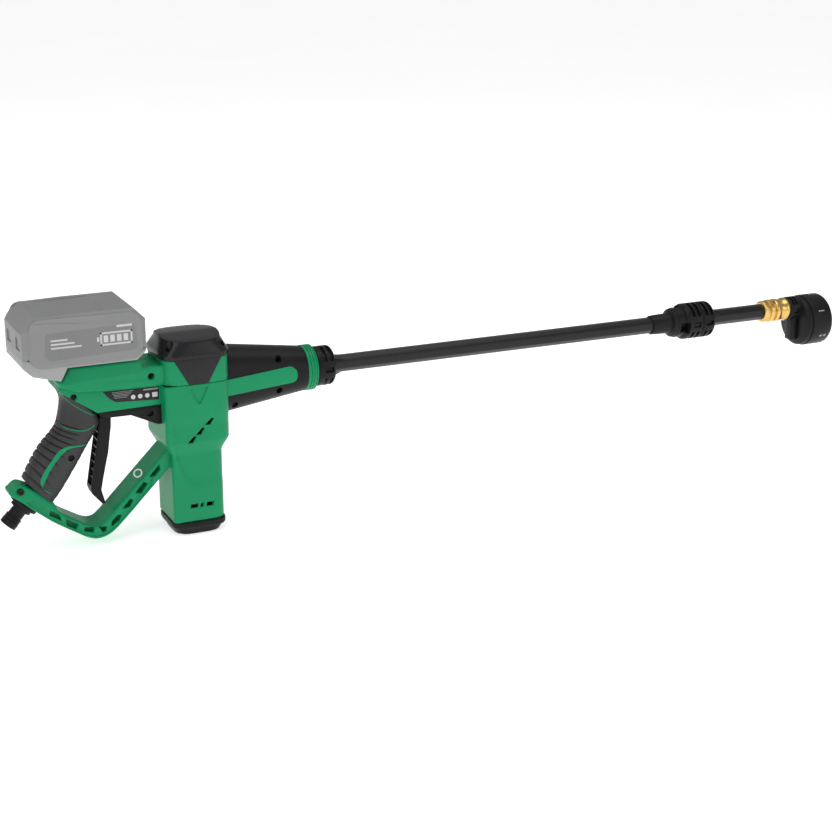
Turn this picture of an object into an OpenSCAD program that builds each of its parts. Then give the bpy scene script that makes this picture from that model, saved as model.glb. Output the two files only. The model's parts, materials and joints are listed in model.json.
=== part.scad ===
// Cordless pressure washer gun: a pump and motor barrel, a rear grip with a trigger inside a guard loop,
// a slide-on battery, a foregrip, a two-piece bayonet lance, a quick coupler and a turret nozzle.
// Frame: origin at the centre of the base cap's underside, +X along the lance, +Z up. Millimetres.

/* [Body] */
// Height of the lance axis above the base
lance_z = 142; // [118:1:172]
// Half width of the upper barrel, round the pump
barrel_a = 32; // [29:0.5:39]
// Half width of the lower barrel, round the motor
motor_a = 25; // [23:0.5:29]
// Wall of the moulded shells
wall = 2.5; // [1.8:0.1:3]
// Half width of the rear body at the battery rail
body_y = 24; // [22:0.5:30]
// Half width of the grip and of the guard loop
grip_y = 17; // [15:0.5:21]
// Thickness of the soft grip cover
rubber = 3; // [2:0.1:3.6]
// Length of the foregrip, from the barrel to the front ring
fore_len = 83.5; // [70:0.5:101]
// Height of the base cap
base_h = 14; // [12:0.5:17]

/* [Battery] */
// Length of the battery
batt_len = 109; // [104:1:131]
// Half width of the battery
batt_y = 38; // [35.5:0.5:46]
// Radius of a battery cell
cell_r = 9.1; // [8.5:0.1:9.1]

/* [Lance] */
// Length of the lance tube, collar to socket
lance_len = 356; // [290:1:430]
// Length of the extension tube, collar to coupler
ext_len = 67; // [50:0.5:90]
// Outer radius of both tubes
tube_r = 8.2; // [6:0.1:9]
// Radius of the water passage
bore_r = 4; // [3:0.1:4.5]
// Outer radius of the bayonet collars
collar_r = 19; // [17:0.5:23]
// Radius of a bayonet plug
plug_r = 10; // [9.4:0.1:10.6]
// Twist that frees a bayonet
twist = 60; // [45:5:75]
// Radius of the quick coupler's plug
stem_r = 5.55; // [4.7:0.05:6.5]
// Radius of the nozzle turret
drum_r = 27; // [24:0.5:32]
// Distance from the lance axis down to the turret's axle
drum_drop = 14.5; // [12.5:0.5:17]
// Number of spray nozzles in the turret
spray_count = 6; // [4:1:7]

/* [Drive] */
// Gear module
gear_m = 0.8; // [0.7:0.02:0.98]
// Teeth on the sun gear; with the ring's teeth it divides by three
sun_t = 12; // [12:6:12]
// Teeth on each planet gear
planet_t = 18; // [18:6:18]
// Radius of the motor shaft
shaft_r = 2.5; // [2:0.1:3]
// Radius of the motor can
can_r = 19; // [16:0.5:20.5]
// Stroke of a pump piston
stroke = 6; // [4.5:0.1:7.5]
// Radius of a pump piston
piston_r = 4; // [3.3:0.1:4.8]

/* [Hidden] */
$fn = 64;

green = "mediumseagreen";
black = "dimgray";
gap = 0.2;        // between moulded parts that meet
run = 0.05;       // radial clearance of a running fit
eps = 0.01;

// ---- heights, measured down or up from the lance axis
function at(h) = lance_z + h;
shelf_z = at(6.3);       // seam between the barrel and the housing ring
ring_top = at(29.5);     // top of the housing ring, where the cap sits
cap_top = at(45.5);        // ridge of the top cap
step_top = at(-47.5);    // where the barrel starts to narrow
step_low = at(-59);      // where it is down to the motor's width
rail_floor = at(32.5);   // top of the rear body, under the battery

// ---- places along the lance
fore_x1 = barrel_a + fore_len;
front_ring_len = 11;
ring_x1 = fore_x1 + front_ring_len;
collar_len = 15.2;
collar_gap = 0.3;
lance_x0 = ring_x1 + collar_gap;
lance_x1 = lance_x0 + collar_len;
socket_x0 = lance_x1 + lance_len;
sleeve_len = 23;
flare_len = 15;
socket_len = 17;
socket_x1 = socket_x0 + sleeve_len + flare_len + socket_len;
ext_x0 = socket_x1 + collar_gap;
ext_x1 = ext_x0 + collar_len;
cone_len = 12;
coupler_x0 = ext_x1 + ext_len;
nut_len = 12;
slide_gap = 3;           // room that the coupler's collar slides back into
coupler_collar_len = 16.5;
hub_x0 = coupler_x0 + nut_len + slide_gap + coupler_collar_len + 0.5;
hub_len = 13.5;
plate_len = 6;
drum_x0 = hub_x0 + hub_len + plate_len + collar_gap;
drum_len = 26;
plug_len = 26;           // bayonet plug, back from the face it seats on
lug_len = 4;
lug_back = 15;           // lug's far end, back from that face
lug_w = 8;
lug_h = 3.5;
lug_gap = 0.3;

// ---- shapes
function squircle(a, n, count = 48) =
  [for (i = [0 : count - 1]) let (t = 360 * i / count, c = cos(t), s = sin(t))
    [a * sign(c) * pow(abs(c), 2 / n), a * sign(s) * pow(abs(s), 2 / n)]];
function oval(a, b, count = 48) = [for (i = [0 : count - 1]) [a * cos(360 * i / count), b * sin(360 * i / count)]];
square_n = 5;            // how square the barrel's section is

// A profile in X and Z, given a thickness from y0 to y1
module slab(y0, y1) translate([0, y1, 0]) rotate([90, 0, 0]) linear_extrude(y1 - y0) children();
// A rod or a tube along X
module along_x(x0, x1, r, z = lance_z) translate([x0, 0, z]) rotate([0, 90, 0]) cylinder(h = x1 - x0, r = r);
module cone_x(x0, x1, r0, r1) translate([x0, 0, lance_z]) rotate([0, 90, 0]) cylinder(h = x1 - x0, r1 = r0, r2 = r1);
module block(x, y, z) translate([x[0], y[0], z[0]]) cube([x[1] - x[0], y[1] - y[0], z[1] - z[0]]);
module barrel_form(a, z0, z1) translate([0, 0, z0]) linear_extrude(z1 - z0) polygon(squircle(a, square_n));
module barrel_taper(a0, a1, z0, z1)
  translate([0, 0, z0]) linear_extrude(z1 - z0, scale = a1 / a0) polygon(squircle(a0, square_n));
module half_space(side) translate([-500, side > 0 ? 0 : -200, -100]) cube([1500, 200, 600]);

// Spring wire on a helix, standing on z = 0
module coil(r, wire, height, turns) {
  sides = 6;
  steps = 14 * turns;
  rise = height - 2 * wire;
  points = [for (i = [0 : steps], k = [0 : sides - 1])
    let (t = 360 * turns * i / steps, q = 360 * k / sides, rr = r + wire * cos(q))
    [rr * cos(t), rr * sin(t), wire + rise * i / steps + wire * sin(q)]];
  skin = [for (i = [0 : steps - 1], k = [0 : sides - 1])
    let (a = i * sides + k, b = i * sides + (k + 1) % sides) [a, a + sides, b + sides, b]];
  ends = [[for (k = [0 : sides - 1]) k], [for (k = [sides - 1 : -1 : 0]) steps * sides + k]];
  polyhedron(points = points, faces = concat(skin, ends), convexity = 6);
}

// A pipe through a list of points in the plane y = 0
module pipe(path, r) {
  for (i = [0 : len(path) - 2]) {
    a = path[i];
    b = path[i + 1];
    translate([a[0], 0, a[1]]) rotate([0, atan2(b[0] - a[0], b[1] - a[1]), 0])
      cylinder(h = norm(b - a), r = r, $fn = 24);
    if (i > 0) translate([a[0], 0, a[1]]) sphere(r = r + 0.15, $fn = 24);
  }
}

// ---- rear body, grip and guard loop: outlines in X and Z
rear_x = -barrel_a;      // back of the barrel
tail_x = rear_x - 99.5;
function body_upper() = [
  [tail_x, at(23)], [tail_x + 9, at(21)], [tail_x + 15.5, rail_floor], [rear_x - 19, rail_floor],
  [rear_x - 19, at(23.5)], [rear_x + 8, at(23.5)], [rear_x + 8, shelf_z - 0.4],
  [rear_x - 55, at(7.3)], [rear_x - 78, at(9)], [tail_x + 4.5, at(15)]];
function body_lower() = [
  [tail_x + 4.5, at(15)], [rear_x - 78, at(9)], [rear_x - 55, at(7.3)], [rear_x + 8, shelf_z - 0.4],
  [rear_x + 8, at(-12.7)], [rear_x - 59.7, at(-13.4)], [rear_x - 94, at(10.7)]];
function grip_outline() = [
  [rear_x - 94, at(10.7)], [rear_x - 90.4, at(4.4)], [rear_x - 89.3, at(-4.2)], [rear_x - 93.6, at(-23.1)],
  [rear_x - 99.5, at(-31.7)], [rear_x - 109.7, at(-42.1)], [rear_x - 119, at(-55.5)], [rear_x - 127.5, at(-71)],
  [rear_x - 101.9, at(-96.8)], [rear_x - 92.5, at(-85.7)], [rear_x - 76.8, at(-62.3)], [rear_x - 68, at(-47.9)],
  [rear_x - 59.3, at(-35.1)], [rear_x - 54.8, at(-26.7)], [rear_x - 56.5, at(-19)], [rear_x - 59.7, at(-13.4)]];
// Where the grip's core runs on into the rear body, and into the loop
function core_top() = [[rear_x - 87.3, at(11)], [rear_x - 62, at(-6.5)], [rear_x - 60, at(-19)], [rear_x - 86.5, at(-2)]];
function core_foot() = [
  [rear_x - 107.8, at(-96.5)], [rear_x - 127.3, at(-76.9)], [rear_x - 120.2, at(-69.9)], [rear_x - 100.6, at(-89.5)]];
loop_end = -motor_a + 3;
function loop_outline() = [
  [rear_x - 132.9, at(-68.8)], [rear_x - 141.2, at(-77.2)], [rear_x - 139.5, at(-82)], [rear_x - 123.4, at(-96.5)],
  [rear_x - 101.3, at(-114.1)], [rear_x - 84.2, at(-125)], [rear_x - 72, at(-132)], [rear_x - 66, at(-133.8)],
  [rear_x - 58, at(-133.6)], [rear_x - 50.5, at(-129.7)], [rear_x - 35.8, at(-116.5)],
  [loop_end, at(-116.5) + loop_end - rear_x + 35.8],
  [loop_end, at(-109.7) + loop_end - rear_x + 47.6],
  [rear_x - 47.6, at(-109.7)], [rear_x - 55, at(-116.5)], [rear_x - 61.4, at(-121.2)], [rear_x - 70, at(-121.2)],
  [rear_x - 97.5, at(-104.4)], [rear_x - 101.9, at(-96.8) - gap], [rear_x - 127.5, at(-71) - gap]];
// Windows in the side of the loop: centre and direction of its band
loop_windows = [
  [-114, -109.5, -36], [-96, -121.2, -31], [-76, -134, -20], [-56, -131.5, 38],
  [-42, -119.5, 45], [-27.5, -105, 45], [-13, -90.5, 45]];
window_mid = 6.5;        // from the list's line to the middle of the band

// Screws that close the two halves: place, and how far out the seat is
screw_r = 1.5;
head_r = 2.9;
body_screws = [
  [rear_x - 80.6, at(4.1), 14], [rear_x - 9.8, at(16.2), 16],
  [rear_x - 84.7, at(-53.6), 10], [rear_x - 131.6, at(-80.1), 12]];
fore_screws = [[fore_x1 - 33.5, at(16.4), 10], [fore_x1 - 33.5, at(-13.4), 10], [barrel_a + 6, at(-21.9), 13]];
surround_screw = [rear_x - 10.5, at(-20), 13];
all_screws = concat(body_screws, fore_screws, [surround_screw]);
boss_r = 4.5;

module at_screw(s) translate([s[0], 0, s[1]]) children();
module core_profile(inset) {
  offset(delta = -rubber - inset) polygon(grip_outline());
  offset(delta = -inset) polygon(core_top());
  offset(delta = -inset) polygon(core_foot());
}
module rod_y(y0, y1, r) translate([0, y1, 0]) rotate([90, 0, 0]) cylinder(h = y1 - y0, r = r, $fn = 32);

// Trigger pivot and travel
pivot_x = rear_x - 50;
pivot_z = at(-16);
pin_r = 2.5;
trigger_y = 7.5;
trigger_slot = trigger_y + 0.7;
arm = 11;                // from the pivot up to the nose that works the switch
nose_r = 2;

// ---- moulded housing, one half at a time; side is -1 for the right hand and 1 for the left
module tongue_zone(grow = 0)   // the cap's tongue, a trapezoid down each side of the housing ring
  slab(-200, 200) polygon([
    [-22 - grow, ring_top + 1], [-11 - grow, shelf_z], [11 + grow, shelf_z], [22 + grow, ring_top + 1]]);
module rail_block(y, z0, z1) block([foot_x + 4, rear_x - 18], [-y, y], [z0, z1]);
neck_y = body_y - 7;
head_y = body_y - 2;
neck_top = rail_floor + 6.1;
head_top = neck_top + 3.4;
module housing_outer() {
  slab(-body_y, body_y) polygon(body_upper());
  slab(-(body_y - 4), body_y - 4) polygon(body_lower());
  slab(-(grip_y - rubber - run), grip_y - rubber - run) core_profile(run);
  slab(-grip_y, grip_y) polygon(loop_outline());
  rail_block(neck_y, rail_floor - eps, neck_top + eps);
  rail_block(head_y, neck_top, head_top);
}
module housing_inner() {
  slab(-(body_y - wall), body_y - wall) offset(delta = -wall) polygon(body_upper());
  slab(-(body_y - 4 - wall), body_y - 4 - wall) offset(delta = -wall) polygon(body_lower());
  // the grip's core is hollow from the collar up into the body
  slab(-(grip_y - rubber - wall), grip_y - rubber - wall) offset(delta = -rubber - wall) polygon(grip_outline());
  slab(-(grip_y - wall), grip_y - wall) offset(delta = -wall) polygon(loop_outline());
  slab(-9, 9) polygon([                                                                  // grip into body
    [rear_x - 86, at(-8)], [rear_x - 66, at(-20)], [rear_x - 62, at(-8)], [rear_x - 78, at(4)]]);
  slab(-9, 9) polygon([                                                                  // upper into lower body
    [rear_x - 70, at(3)], [rear_x - 10, at(3)], [rear_x - 10, at(14)], [rear_x - 70, at(14)]]);
}
module housing_half(side) {
  difference() {
    union() {
      difference() {
        union() {
          housing_outer();
          difference() {
            barrel_form(barrel_a, shelf_z, ring_top);
            barrel_form(barrel_a - wall, shelf_z - 1, ring_top + 1);
          }
        }
        difference() {
          housing_inner();
          for (s = body_screws) at_screw(s) rod_y(-200, 200, boss_r);
        }
        // the barrel's own space, and the cap's tongues
        barrel_form(barrel_a - wall, shelf_z - eps, ring_top + 1);
        barrel_form(barrel_a + gap, step_low, shelf_z);
        barrel_form(motor_a + gap, 0, step_low + 1);
        barrel_taper(motor_a + gap, barrel_a + gap, step_low, step_top);
        difference() {
          tongue_zone(gap);
          barrel_form(barrel_a - wall / 2 - gap, 0, 400);
          block([-200, 200], [-barrel_a * 0.8, barrel_a * 0.8], [0, 400]);
        }
      }
    }
    half_space(-side);
    for (w = loop_windows) translate([rear_x + w[0], 0, at(w[1])]) rotate([0, -w[2], 0])
      block([-5, 5], [-200, 200], [window_mid - 2.4, window_mid + 2.4]);
    for (s = body_screws) at_screw(s) {
      rod_y(-200, 0, screw_r + 0.2);
      rod_y(-1, 200, screw_r);
      rod_y(-200, -s[2], head_r + 0.3);
      rod_y(s[2] + 4, 200, head_r + 0.3);
    }
    trigger_room();
    nipple_room();
    pipe(hose_path(), hose_r + gap);
    block([rear_x - 60, rear_x - 22], [-9, 9], [at(-14), at(-9)]);                        // switch and arm
  }
}
spring_pocket_y = trigger_slot + 4.2;
module spring_pocket() translate([pivot_x, 0, pivot_z]) rod_y(trigger_slot - 1, spring_pocket_y, pin_r + 2.3);
module trigger_room() {
  block([pivot_x - 13, pivot_x + 3], [-trigger_slot - 0.3, trigger_slot + 0.3], [at(-46), at(-10)]);
  spring_pocket();
}
module housing_right() color(green) housing_half(-1);
module housing_left() color(green) housing_half(1);

module grip_rubber(side) color(black) difference() {
  slab(-grip_y, grip_y) polygon(grip_outline());
  slab(-(grip_y - rubber), grip_y - rubber) core_profile(0);
  half_space(-side);
  for (i = [0, 2]) at_screw(body_screws[i]) rod_y(-200, 200, head_r + 0.3);
  trigger_room();
}
module grip_rubber_right() grip_rubber(-1);
module grip_rubber_left() grip_rubber(1);

// ---- barrel, caps
pump_r = 22;
vent_w = 3.2;
module barrel_shell(out) {
  barrel_form(motor_a - out, base_h, step_low + eps);
  barrel_taper(motor_a - out, barrel_a - out, step_low, step_top);
  barrel_form(barrel_a - out, step_top - eps, shelf_z - gap);
}
module motor_barrel() color(green) difference() {
  barrel_shell(0);
  barrel_shell(wall);
  barrel_form(barrel_a - wall, shelf_z - 2, shelf_z + 5);
  barrel_form(motor_a - wall, base_h - 5, base_h + 5);
  block([-60, -barrel_a * 0.6], [-9, 9], [at(-6), shelf_z + 1]);     // inlet hose
  block([barrel_a * 0.6, 60], [-7, 7], [at(-7), shelf_z + 1]);       // outlet pipe
  for (side = [-1, 1]) {
    for (i = [-1 : 1]) {
      translate([3 + 10 * i, side * barrel_a, at(-36 + 9 * i)]) rotate([0, -42, 0])
        cube([9, 20, vent_w], center = true);
      translate([5 + 9 * i, side * motor_a, base_h + 14]) cube([7, 16, vent_w], center = true);
    }
  }
}
cap_inset = 10;
cap_lip = 0.6;
cap_hole = barrel_a * 0.7;
module cap_form(out) {
  barrel_form(barrel_a + cap_lip - out, ring_top + gap + (out > 0 ? -1 : 0), at(37));
  barrel_taper(barrel_a + cap_lip - out, barrel_a - cap_inset - out, at(37) - eps, cap_top - out);
}
module top_cap() color(black) difference() {
  union() {
    difference() {
      cap_form(0);
      cap_form(wall);
    }
    for (x = [-1, 1], y = [-1, 1])
      intersection() {
        translate([x * cap_hole, y * cap_hole, ring_top + gap]) cylinder(h = 9, r = 5.2);
        barrel_form(barrel_a + cap_lip, ring_top, at(40));
      }
    intersection() {
      difference() {
        barrel_form(barrel_a, shelf_z + gap, ring_top + 2);
        barrel_form(barrel_a - wall / 2, 0, 400);
        block([-200, 200], [-barrel_a * 0.8 - gap, barrel_a * 0.8 + gap], [0, 400]);
      }
      tongue_zone(0);
    }
  }
  for (x = [-1, 1], y = [-1, 1]) translate([x * cap_hole, y * cap_hole, 0]) {
    translate([0, 0, ring_top - 10]) cylinder(h = 60, r = screw_r + 0.2);
    translate([0, 0, ring_top + 4]) cylinder(h = 60, r = head_r + 0.3);
  }
}
base_hole = motor_a * 0.66;
module base_cap() color(black) difference() {
  union() {
    barrel_taper(motor_a - 3, motor_a + 1.8, 0, 5);
    barrel_form(motor_a + 1.8, 5 - eps, base_h - gap);
    barrel_form(motor_a - wall - gap, base_h - 1, base_h + 3);
  }
  barrel_form(motor_a - 2 * wall, 5, base_h + 10);
  for (x = [-1, 1], y = [-1, 1]) translate([x * base_hole, y * base_hole, 0]) {
    translate([0, 0, -1]) cylinder(h = 30, r = screw_r + 0.2);
    translate([0, 0, -1]) cylinder(h = 4, r = head_r + 0.3);
  }
}
module screw(length) {
  translate([0, 0, -0.9]) cylinder(h = length + 0.9, r = screw_r, $fn = 24);
  translate([0, 0, -2 - 2 * eps]) difference() {
    cylinder(h = 2, r = head_r, $fn = 32);
    for (turn = [0, 90]) rotate(turn) translate([-1.6, -0.4, -1]) cube([3.2, 0.8, 2]);
  }
}
module cap_screws() color("silver") for (x = [-1, 1], y = [-1, 1]) {
  translate([x * cap_hole, y * cap_hole, ring_top + 4]) mirror([0, 0, 1]) screw(10);
  translate([x * base_hole, y * base_hole, 3]) screw(8);
}
module housing_screws() color("silver")
  for (s = all_screws) at_screw(s) translate([0, -s[2], 0]) rotate([-90, 0, 0]) screw(s[2] + 10);

// ---- foregrip
fore_y0 = barrel_a - 6;
fore_h0 = barrel_a + 1;
fore_r1 = 21.9;
module fore_form(out)
  translate([barrel_a - 8, 0, lance_z]) rotate([0, 90, 0])
    linear_extrude(fore_len + 8, slices = 1, scale = [(fore_r1 - out) / (fore_h0 - out), (fore_r1 - out) / (fore_y0 - out)])
      polygon(oval(fore_h0 - out, fore_y0 - out));
inlay_deep = 1.5;
module inlay_zone(grow)
  block([barrel_a - 20, fore_x1 - 14.5 + grow], [-200, 200], [at(-8) - grow, at(8) + grow]);
module foregrip_half(side) color(black) difference() {
  fore_form(0);
  difference() {
    fore_form(wall + 0.5);
    for (s = fore_screws) at_screw(s) rod_y(-200, 200, boss_r);
  }
  along_x(fore_x1 - 30, fore_x1 + 1, plug_r + 5 + gap);
  along_x(0, fore_x1, bore_r + 1.4);
  difference() {
    inlay_zone(run);
    fore_form(inlay_deep + run);
  }
  barrel_form(barrel_a + gap, 0, 400);
  barrel_form(barrel_a + cap_lip + gap, ring_top - gap, 400);
  half_space(-side);
  for (s = fore_screws) at_screw(s) {
    rod_y(-200, 0, screw_r + 0.2);
    rod_y(-1, 200, screw_r);
    rod_y(-200, -s[2], head_r + 0.3);
    rod_y(s[2] + 4, 200, head_r + 0.3);
  }
}
module foregrip_right() foregrip_half(-1);
module foregrip_left() foregrip_half(1);
module foregrip_inlays() color(green) difference() {
  intersection() {
    difference() {
      fore_form(0);
      fore_form(inlay_deep);
    }
    inlay_zone(0);
  }
  barrel_form(barrel_a + gap, 0, 400);
}
module front_ring() color(green) difference() {
  along_x(fore_x1 + gap, ring_x1, fore_r1);
  along_x(fore_x1 - 1, ring_x1 + 1, plug_r + 5 + gap);
  for (i = [1 : 4]) difference() {
    along_x(fore_x1 + 2.1 * i, fore_x1 + 2.1 * i + 0.6, fore_r1 + 1);
    along_x(fore_x1, ring_x1, fore_r1 - 0.5);
  }
}

// ---- bayonet joints
module lugs(x_face, grow) intersection() {
  along_x(x_face - lug_back - grow, x_face - lug_back + lug_len + grow, plug_r + lug_h + grow);
  block([0, 2000], [-200, 200], [lance_z - lug_w / 2, lance_z + lug_w / 2]);
}
module bayonet_plug(x_face) {
  along_x(x_face - plug_len, x_face + eps, plug_r);
  lugs(x_face, 0);
}
module bayonet_cut(x_face) {
  along_x(x_face - plug_len - 0.4, x_face + 1, plug_r + 0.1);
  along_x(x_face - lug_back - lug_gap, x_face - lug_back + lug_len + lug_gap, plug_r + lug_h + lug_gap);
  translate([0, 0, lance_z]) rotate([twist, 0, 0]) translate([0, 0, -lance_z]) intersection() {
    along_x(x_face - lug_back, x_face + 1, plug_r + lug_h + lug_gap / 2);
    block([0, 2000], [-200, 200], [lance_z - lug_w / 2 - lug_gap, lance_z + lug_w / 2 + lug_gap]);
  }
}
module lance_receiver() color("darkslategray") difference() {
  along_x(ring_x1 - plug_len - 6, ring_x1, plug_r + 5);
  bayonet_cut(ring_x1 + collar_gap);
  along_x(ring_x1 - plug_len - 10, ring_x1, bore_r + run);
}
seal_deep = 1.6;
module seal_groove(x_face) difference() {
  along_x(x_face - plug_len + 3, x_face - plug_len + 6, plug_r + 1);
  along_x(x_face - plug_len, x_face, plug_r - seal_deep);
}
module lance_oring() color("black") translate([lance_x0 - plug_len + 4.5, 0, lance_z]) rotate([0, 90, 0])
  rotate_extrude() translate([plug_r - 0.8, 0]) circle(r = 0.8, $fn = 24);

// A moulded collar with its two rows of grip slots
module collar(x0, x1) difference() {
  union() {
    along_x(x0, x1 - 2, collar_r);
    cone_x(x1 - 2 - eps, x1, collar_r, collar_r - 2);
  }
  for (row = [0, 1], k = [0 : 7]) translate([x0 + 3 + 5.6 * row, 0, lance_z]) rotate([45 * k, 0, 0])
    block([0, 3], [-5, 5], [collar_r - 2.5, collar_r + 5]);
}
module tube(x0, x1) difference() {
  union() {
    bayonet_plug(x0);
    collar(x0, x0 + collar_len);
    cone_x(x0 + collar_len - eps, x0 + collar_len + cone_len, tube_r + 5, tube_r);
    along_x(x0 + collar_len, x1, tube_r);
  }
  seal_groove(x0);
  along_x(x0 - plug_len - 1, x1 + 1, bore_r);
}
module lance_tube() color(black) tube(lance_x0, socket_x0 + sleeve_len);
module extension_tube() color(black) tube(ext_x0, coupler_x0);
module lance_socket() color(black) difference() {
  union() {
    along_x(socket_x0, socket_x0 + sleeve_len + eps, tube_r + 1.5);
    along_x(socket_x0 + sleeve_len, socket_x0 + sleeve_len + flare_len + eps, collar_r - 3.5);
    along_x(socket_x0 + sleeve_len + flare_len, socket_x1, collar_r);
  }
  along_x(socket_x0 - 1, socket_x0 + sleeve_len, tube_r);
  along_x(socket_x0, socket_x1, bore_r);
  bayonet_cut(ext_x0);
  for (row = [0, 1], k = [0 : 7]) translate([socket_x1 - 14 + 6 * row, 0, lance_z]) rotate([45 * k, 0, 0])
    block([0, 3], [-5, 5], [collar_r - 2.5, collar_r + 5]);
}

// ---- quick coupler and turret nozzle
sleeve_r = stem_r + 3.4;
coupler_collar_r = sleeve_r + 3.3;
module coupler_body() color("gold") difference() {
  union() {
    along_x(coupler_x0, coupler_x0 + nut_len, coupler_collar_r - 1.1);
    along_x(coupler_x0, hub_x0 - 2, sleeve_r);
  }
  along_x(coupler_x0 - 1, hub_x0, bore_r - 1);
  along_x(hub_x0 - 24, hub_x0, stem_r + run);
}
module coupler_collar() color("gold") difference() {
  along_x(coupler_x0 + nut_len + slide_gap, hub_x0 - 0.5, coupler_collar_r);
  along_x(coupler_x0, hub_x0, sleeve_r + run);
  difference() {
    along_x(coupler_x0 + nut_len + slide_gap + 8, coupler_x0 + nut_len + slide_gap + 10, coupler_collar_r + 1);
    along_x(coupler_x0, hub_x0, coupler_collar_r - 1.2);
  }
}
hub_r = 12.5;
axle_r = 3;
drum_z = lance_z - drum_drop;
module nozzle_plug() color("gold") difference() {
  union() {
    along_x(hub_x0 - 22, hub_x0 + hub_len - 2, stem_r);
    along_x(hub_x0 + 1, hub_x0 + hub_len - 2, stem_r + 0.5);
  }
  along_x(hub_x0 - 30, hub_x0 + 60, 2);
}
module nozzle_body() color(black) difference() {
  union() {
    along_x(hub_x0, hub_x0 + hub_len + eps, hub_r);
    along_x(hub_x0 + hub_len, hub_x0 + hub_len + plate_len, drum_r - 1, drum_z);
    along_x(hub_x0 + hub_len, drum_x0 + drum_len - 4, axle_r, drum_z);
    block([hub_x0 + 1, hub_x0 + hub_len + eps], [-7, 7], [drum_z - drum_r + 4, lance_z - hub_r + 4]);
  }
  along_x(hub_x0 - 1, hub_x0 + hub_len - 2, stem_r + 0.5);
  along_x(hub_x0, drum_x0, 2);
  for (k = [0 : 7]) translate([hub_x0 + 5, 0, lance_z]) rotate([45 * k, 0, 0])
    block([0, 6], [-2, 2], [hub_r - 1.5, hub_r + 5]);
}
tip_r = 3;
module at_sprays() for (k = [0 : spray_count - 1])
  translate([0, 0, drum_z]) rotate([360 * k / spray_count, 0, 0]) translate([0, 0, drum_drop - lance_z]) children();
module nozzle_drum() color(black) difference() {
  union() {
    along_x(drum_x0, drum_x0 + drum_len - 4, drum_r, drum_z);
    translate([drum_x0 + drum_len - 4 - eps, 0, drum_z]) rotate([0, 90, 0])
      cylinder(h = 4, r1 = drum_r, r2 = drum_r - 3);
  }
  along_x(drum_x0 - 1, drum_x0 + drum_len - 3.7, axle_r + run, drum_z);
  at_sprays() along_x(drum_x0 - 1, drum_x0 + drum_len + 1, tip_r);
}
module nozzle_tips() color("gold") at_sprays() difference() {
  along_x(drum_x0 + drum_len - 9, drum_x0 + drum_len, tip_r);
  along_x(drum_x0, drum_x0 + drum_len + 1, 0.9);
}

// ---- water inlet at the foot of the grip
inlet_lean = 48;         // below the horizontal
nipple_at = [rear_x - 125.7, at(-94.8)];
module rotate_to_inlet() translate([nipple_at[0], 0, nipple_at[1]]) rotate([0, -90 - inlet_lean, 0]) children();
nipple_tip_r = 8;
tip_len = 10;
spigot_r = 7;
spigot_len = 14;
flange_r = 13.5;
flange_end = 3.7;
step_end = 7.5;
neck_end = 15.7;
nipple_len = neck_end + tip_len;
module nipple_room() rotate_to_inlet() {
  cylinder(h = 60, r = flange_r + 0.5);
  translate([0, 0, -spigot_len - 1]) cylinder(h = 30, r = spigot_r + gap);
}
module inlet_nipple() color(black) rotate_to_inlet() difference() {
  union() {
    translate([0, 0, -spigot_len]) cylinder(h = spigot_len + 1, r = spigot_r);
    translate([0, 0, gap]) cylinder(h = flange_end - gap, r = flange_r);
    translate([0, 0, flange_end - eps]) cylinder(h = step_end - flange_end, r = 10);
    translate([0, 0, step_end - 2 * eps]) cylinder(h = neck_end - step_end + 1, r = 6.9);
    translate([0, 0, neck_end]) cylinder(h = tip_len, r = nipple_tip_r);
  }
  translate([0, 0, -20]) cylinder(h = 60, r = bore_r);
  translate([0, 0, neck_end + 1.6]) difference() {
    cylinder(h = 2.4, r = nipple_tip_r + 1);
    translate([0, 0, -1]) cylinder(h = 5, r = nipple_tip_r - 1.6);
  }
}
module inlet_oring() color("black") rotate_to_inlet() translate([0, 0, neck_end + 2.8])
  rotate_extrude() translate([nipple_tip_r - 0.85, 0]) circle(r = 0.75, $fn = 24);
hose_r = 3.4;
function along_inlet(d) = nipple_at + d * [-cos(inlet_lean), -sin(inlet_lean)];
hose_z = at(5);
function hose_path() = [
  along_inlet(-spigot_len - 0.2), [rear_x - 106, at(-68)], [rear_x - 88, at(-40)], [rear_x - 74, at(-18)],
  [rear_x - 66, at(-4)], [rear_x - 54, hose_z], [-pump_r - 0.1, hose_z]];
module inlet_hose() color("gray") pipe(hose_path(), hose_r);

// ---- trigger, its switch and its surround
module trigger_surround() color(black) difference() {
  slab(-(grip_y + 1), grip_y + 1) polygon([
    [rear_x - 59.2, at(-13.6)], [rear_x + 8, at(-12.9)], [rear_x + 8, at(-32)], [rear_x - 4.4, at(-31.2)],
    [rear_x - 28.5, at(-19.7)], [rear_x - 49, at(-19.4)], [rear_x - 55.6, at(-18)]]);
  block([pivot_x - 12, pivot_x + 9], [-trigger_slot, trigger_slot], [at(-40), at(0)]);
  at_pivot() rod_y(-14, 14, pin_r);
  spring_pocket();
  barrel_form(barrel_a + gap, step_low, 400);
  at_screw(surround_screw) {
    rod_y(-200, 0, screw_r + 0.2);
    rod_y(-1, 200, screw_r);
    rod_y(-200, -surround_screw[2], head_r + 0.3);
  }
}
module at_pivot() translate([pivot_x, 0, pivot_z]) children();
module trigger_pin() color("silver") at_pivot() rod_y(-13.9, 13.9, pin_r);
trigger_side = 2;
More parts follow.
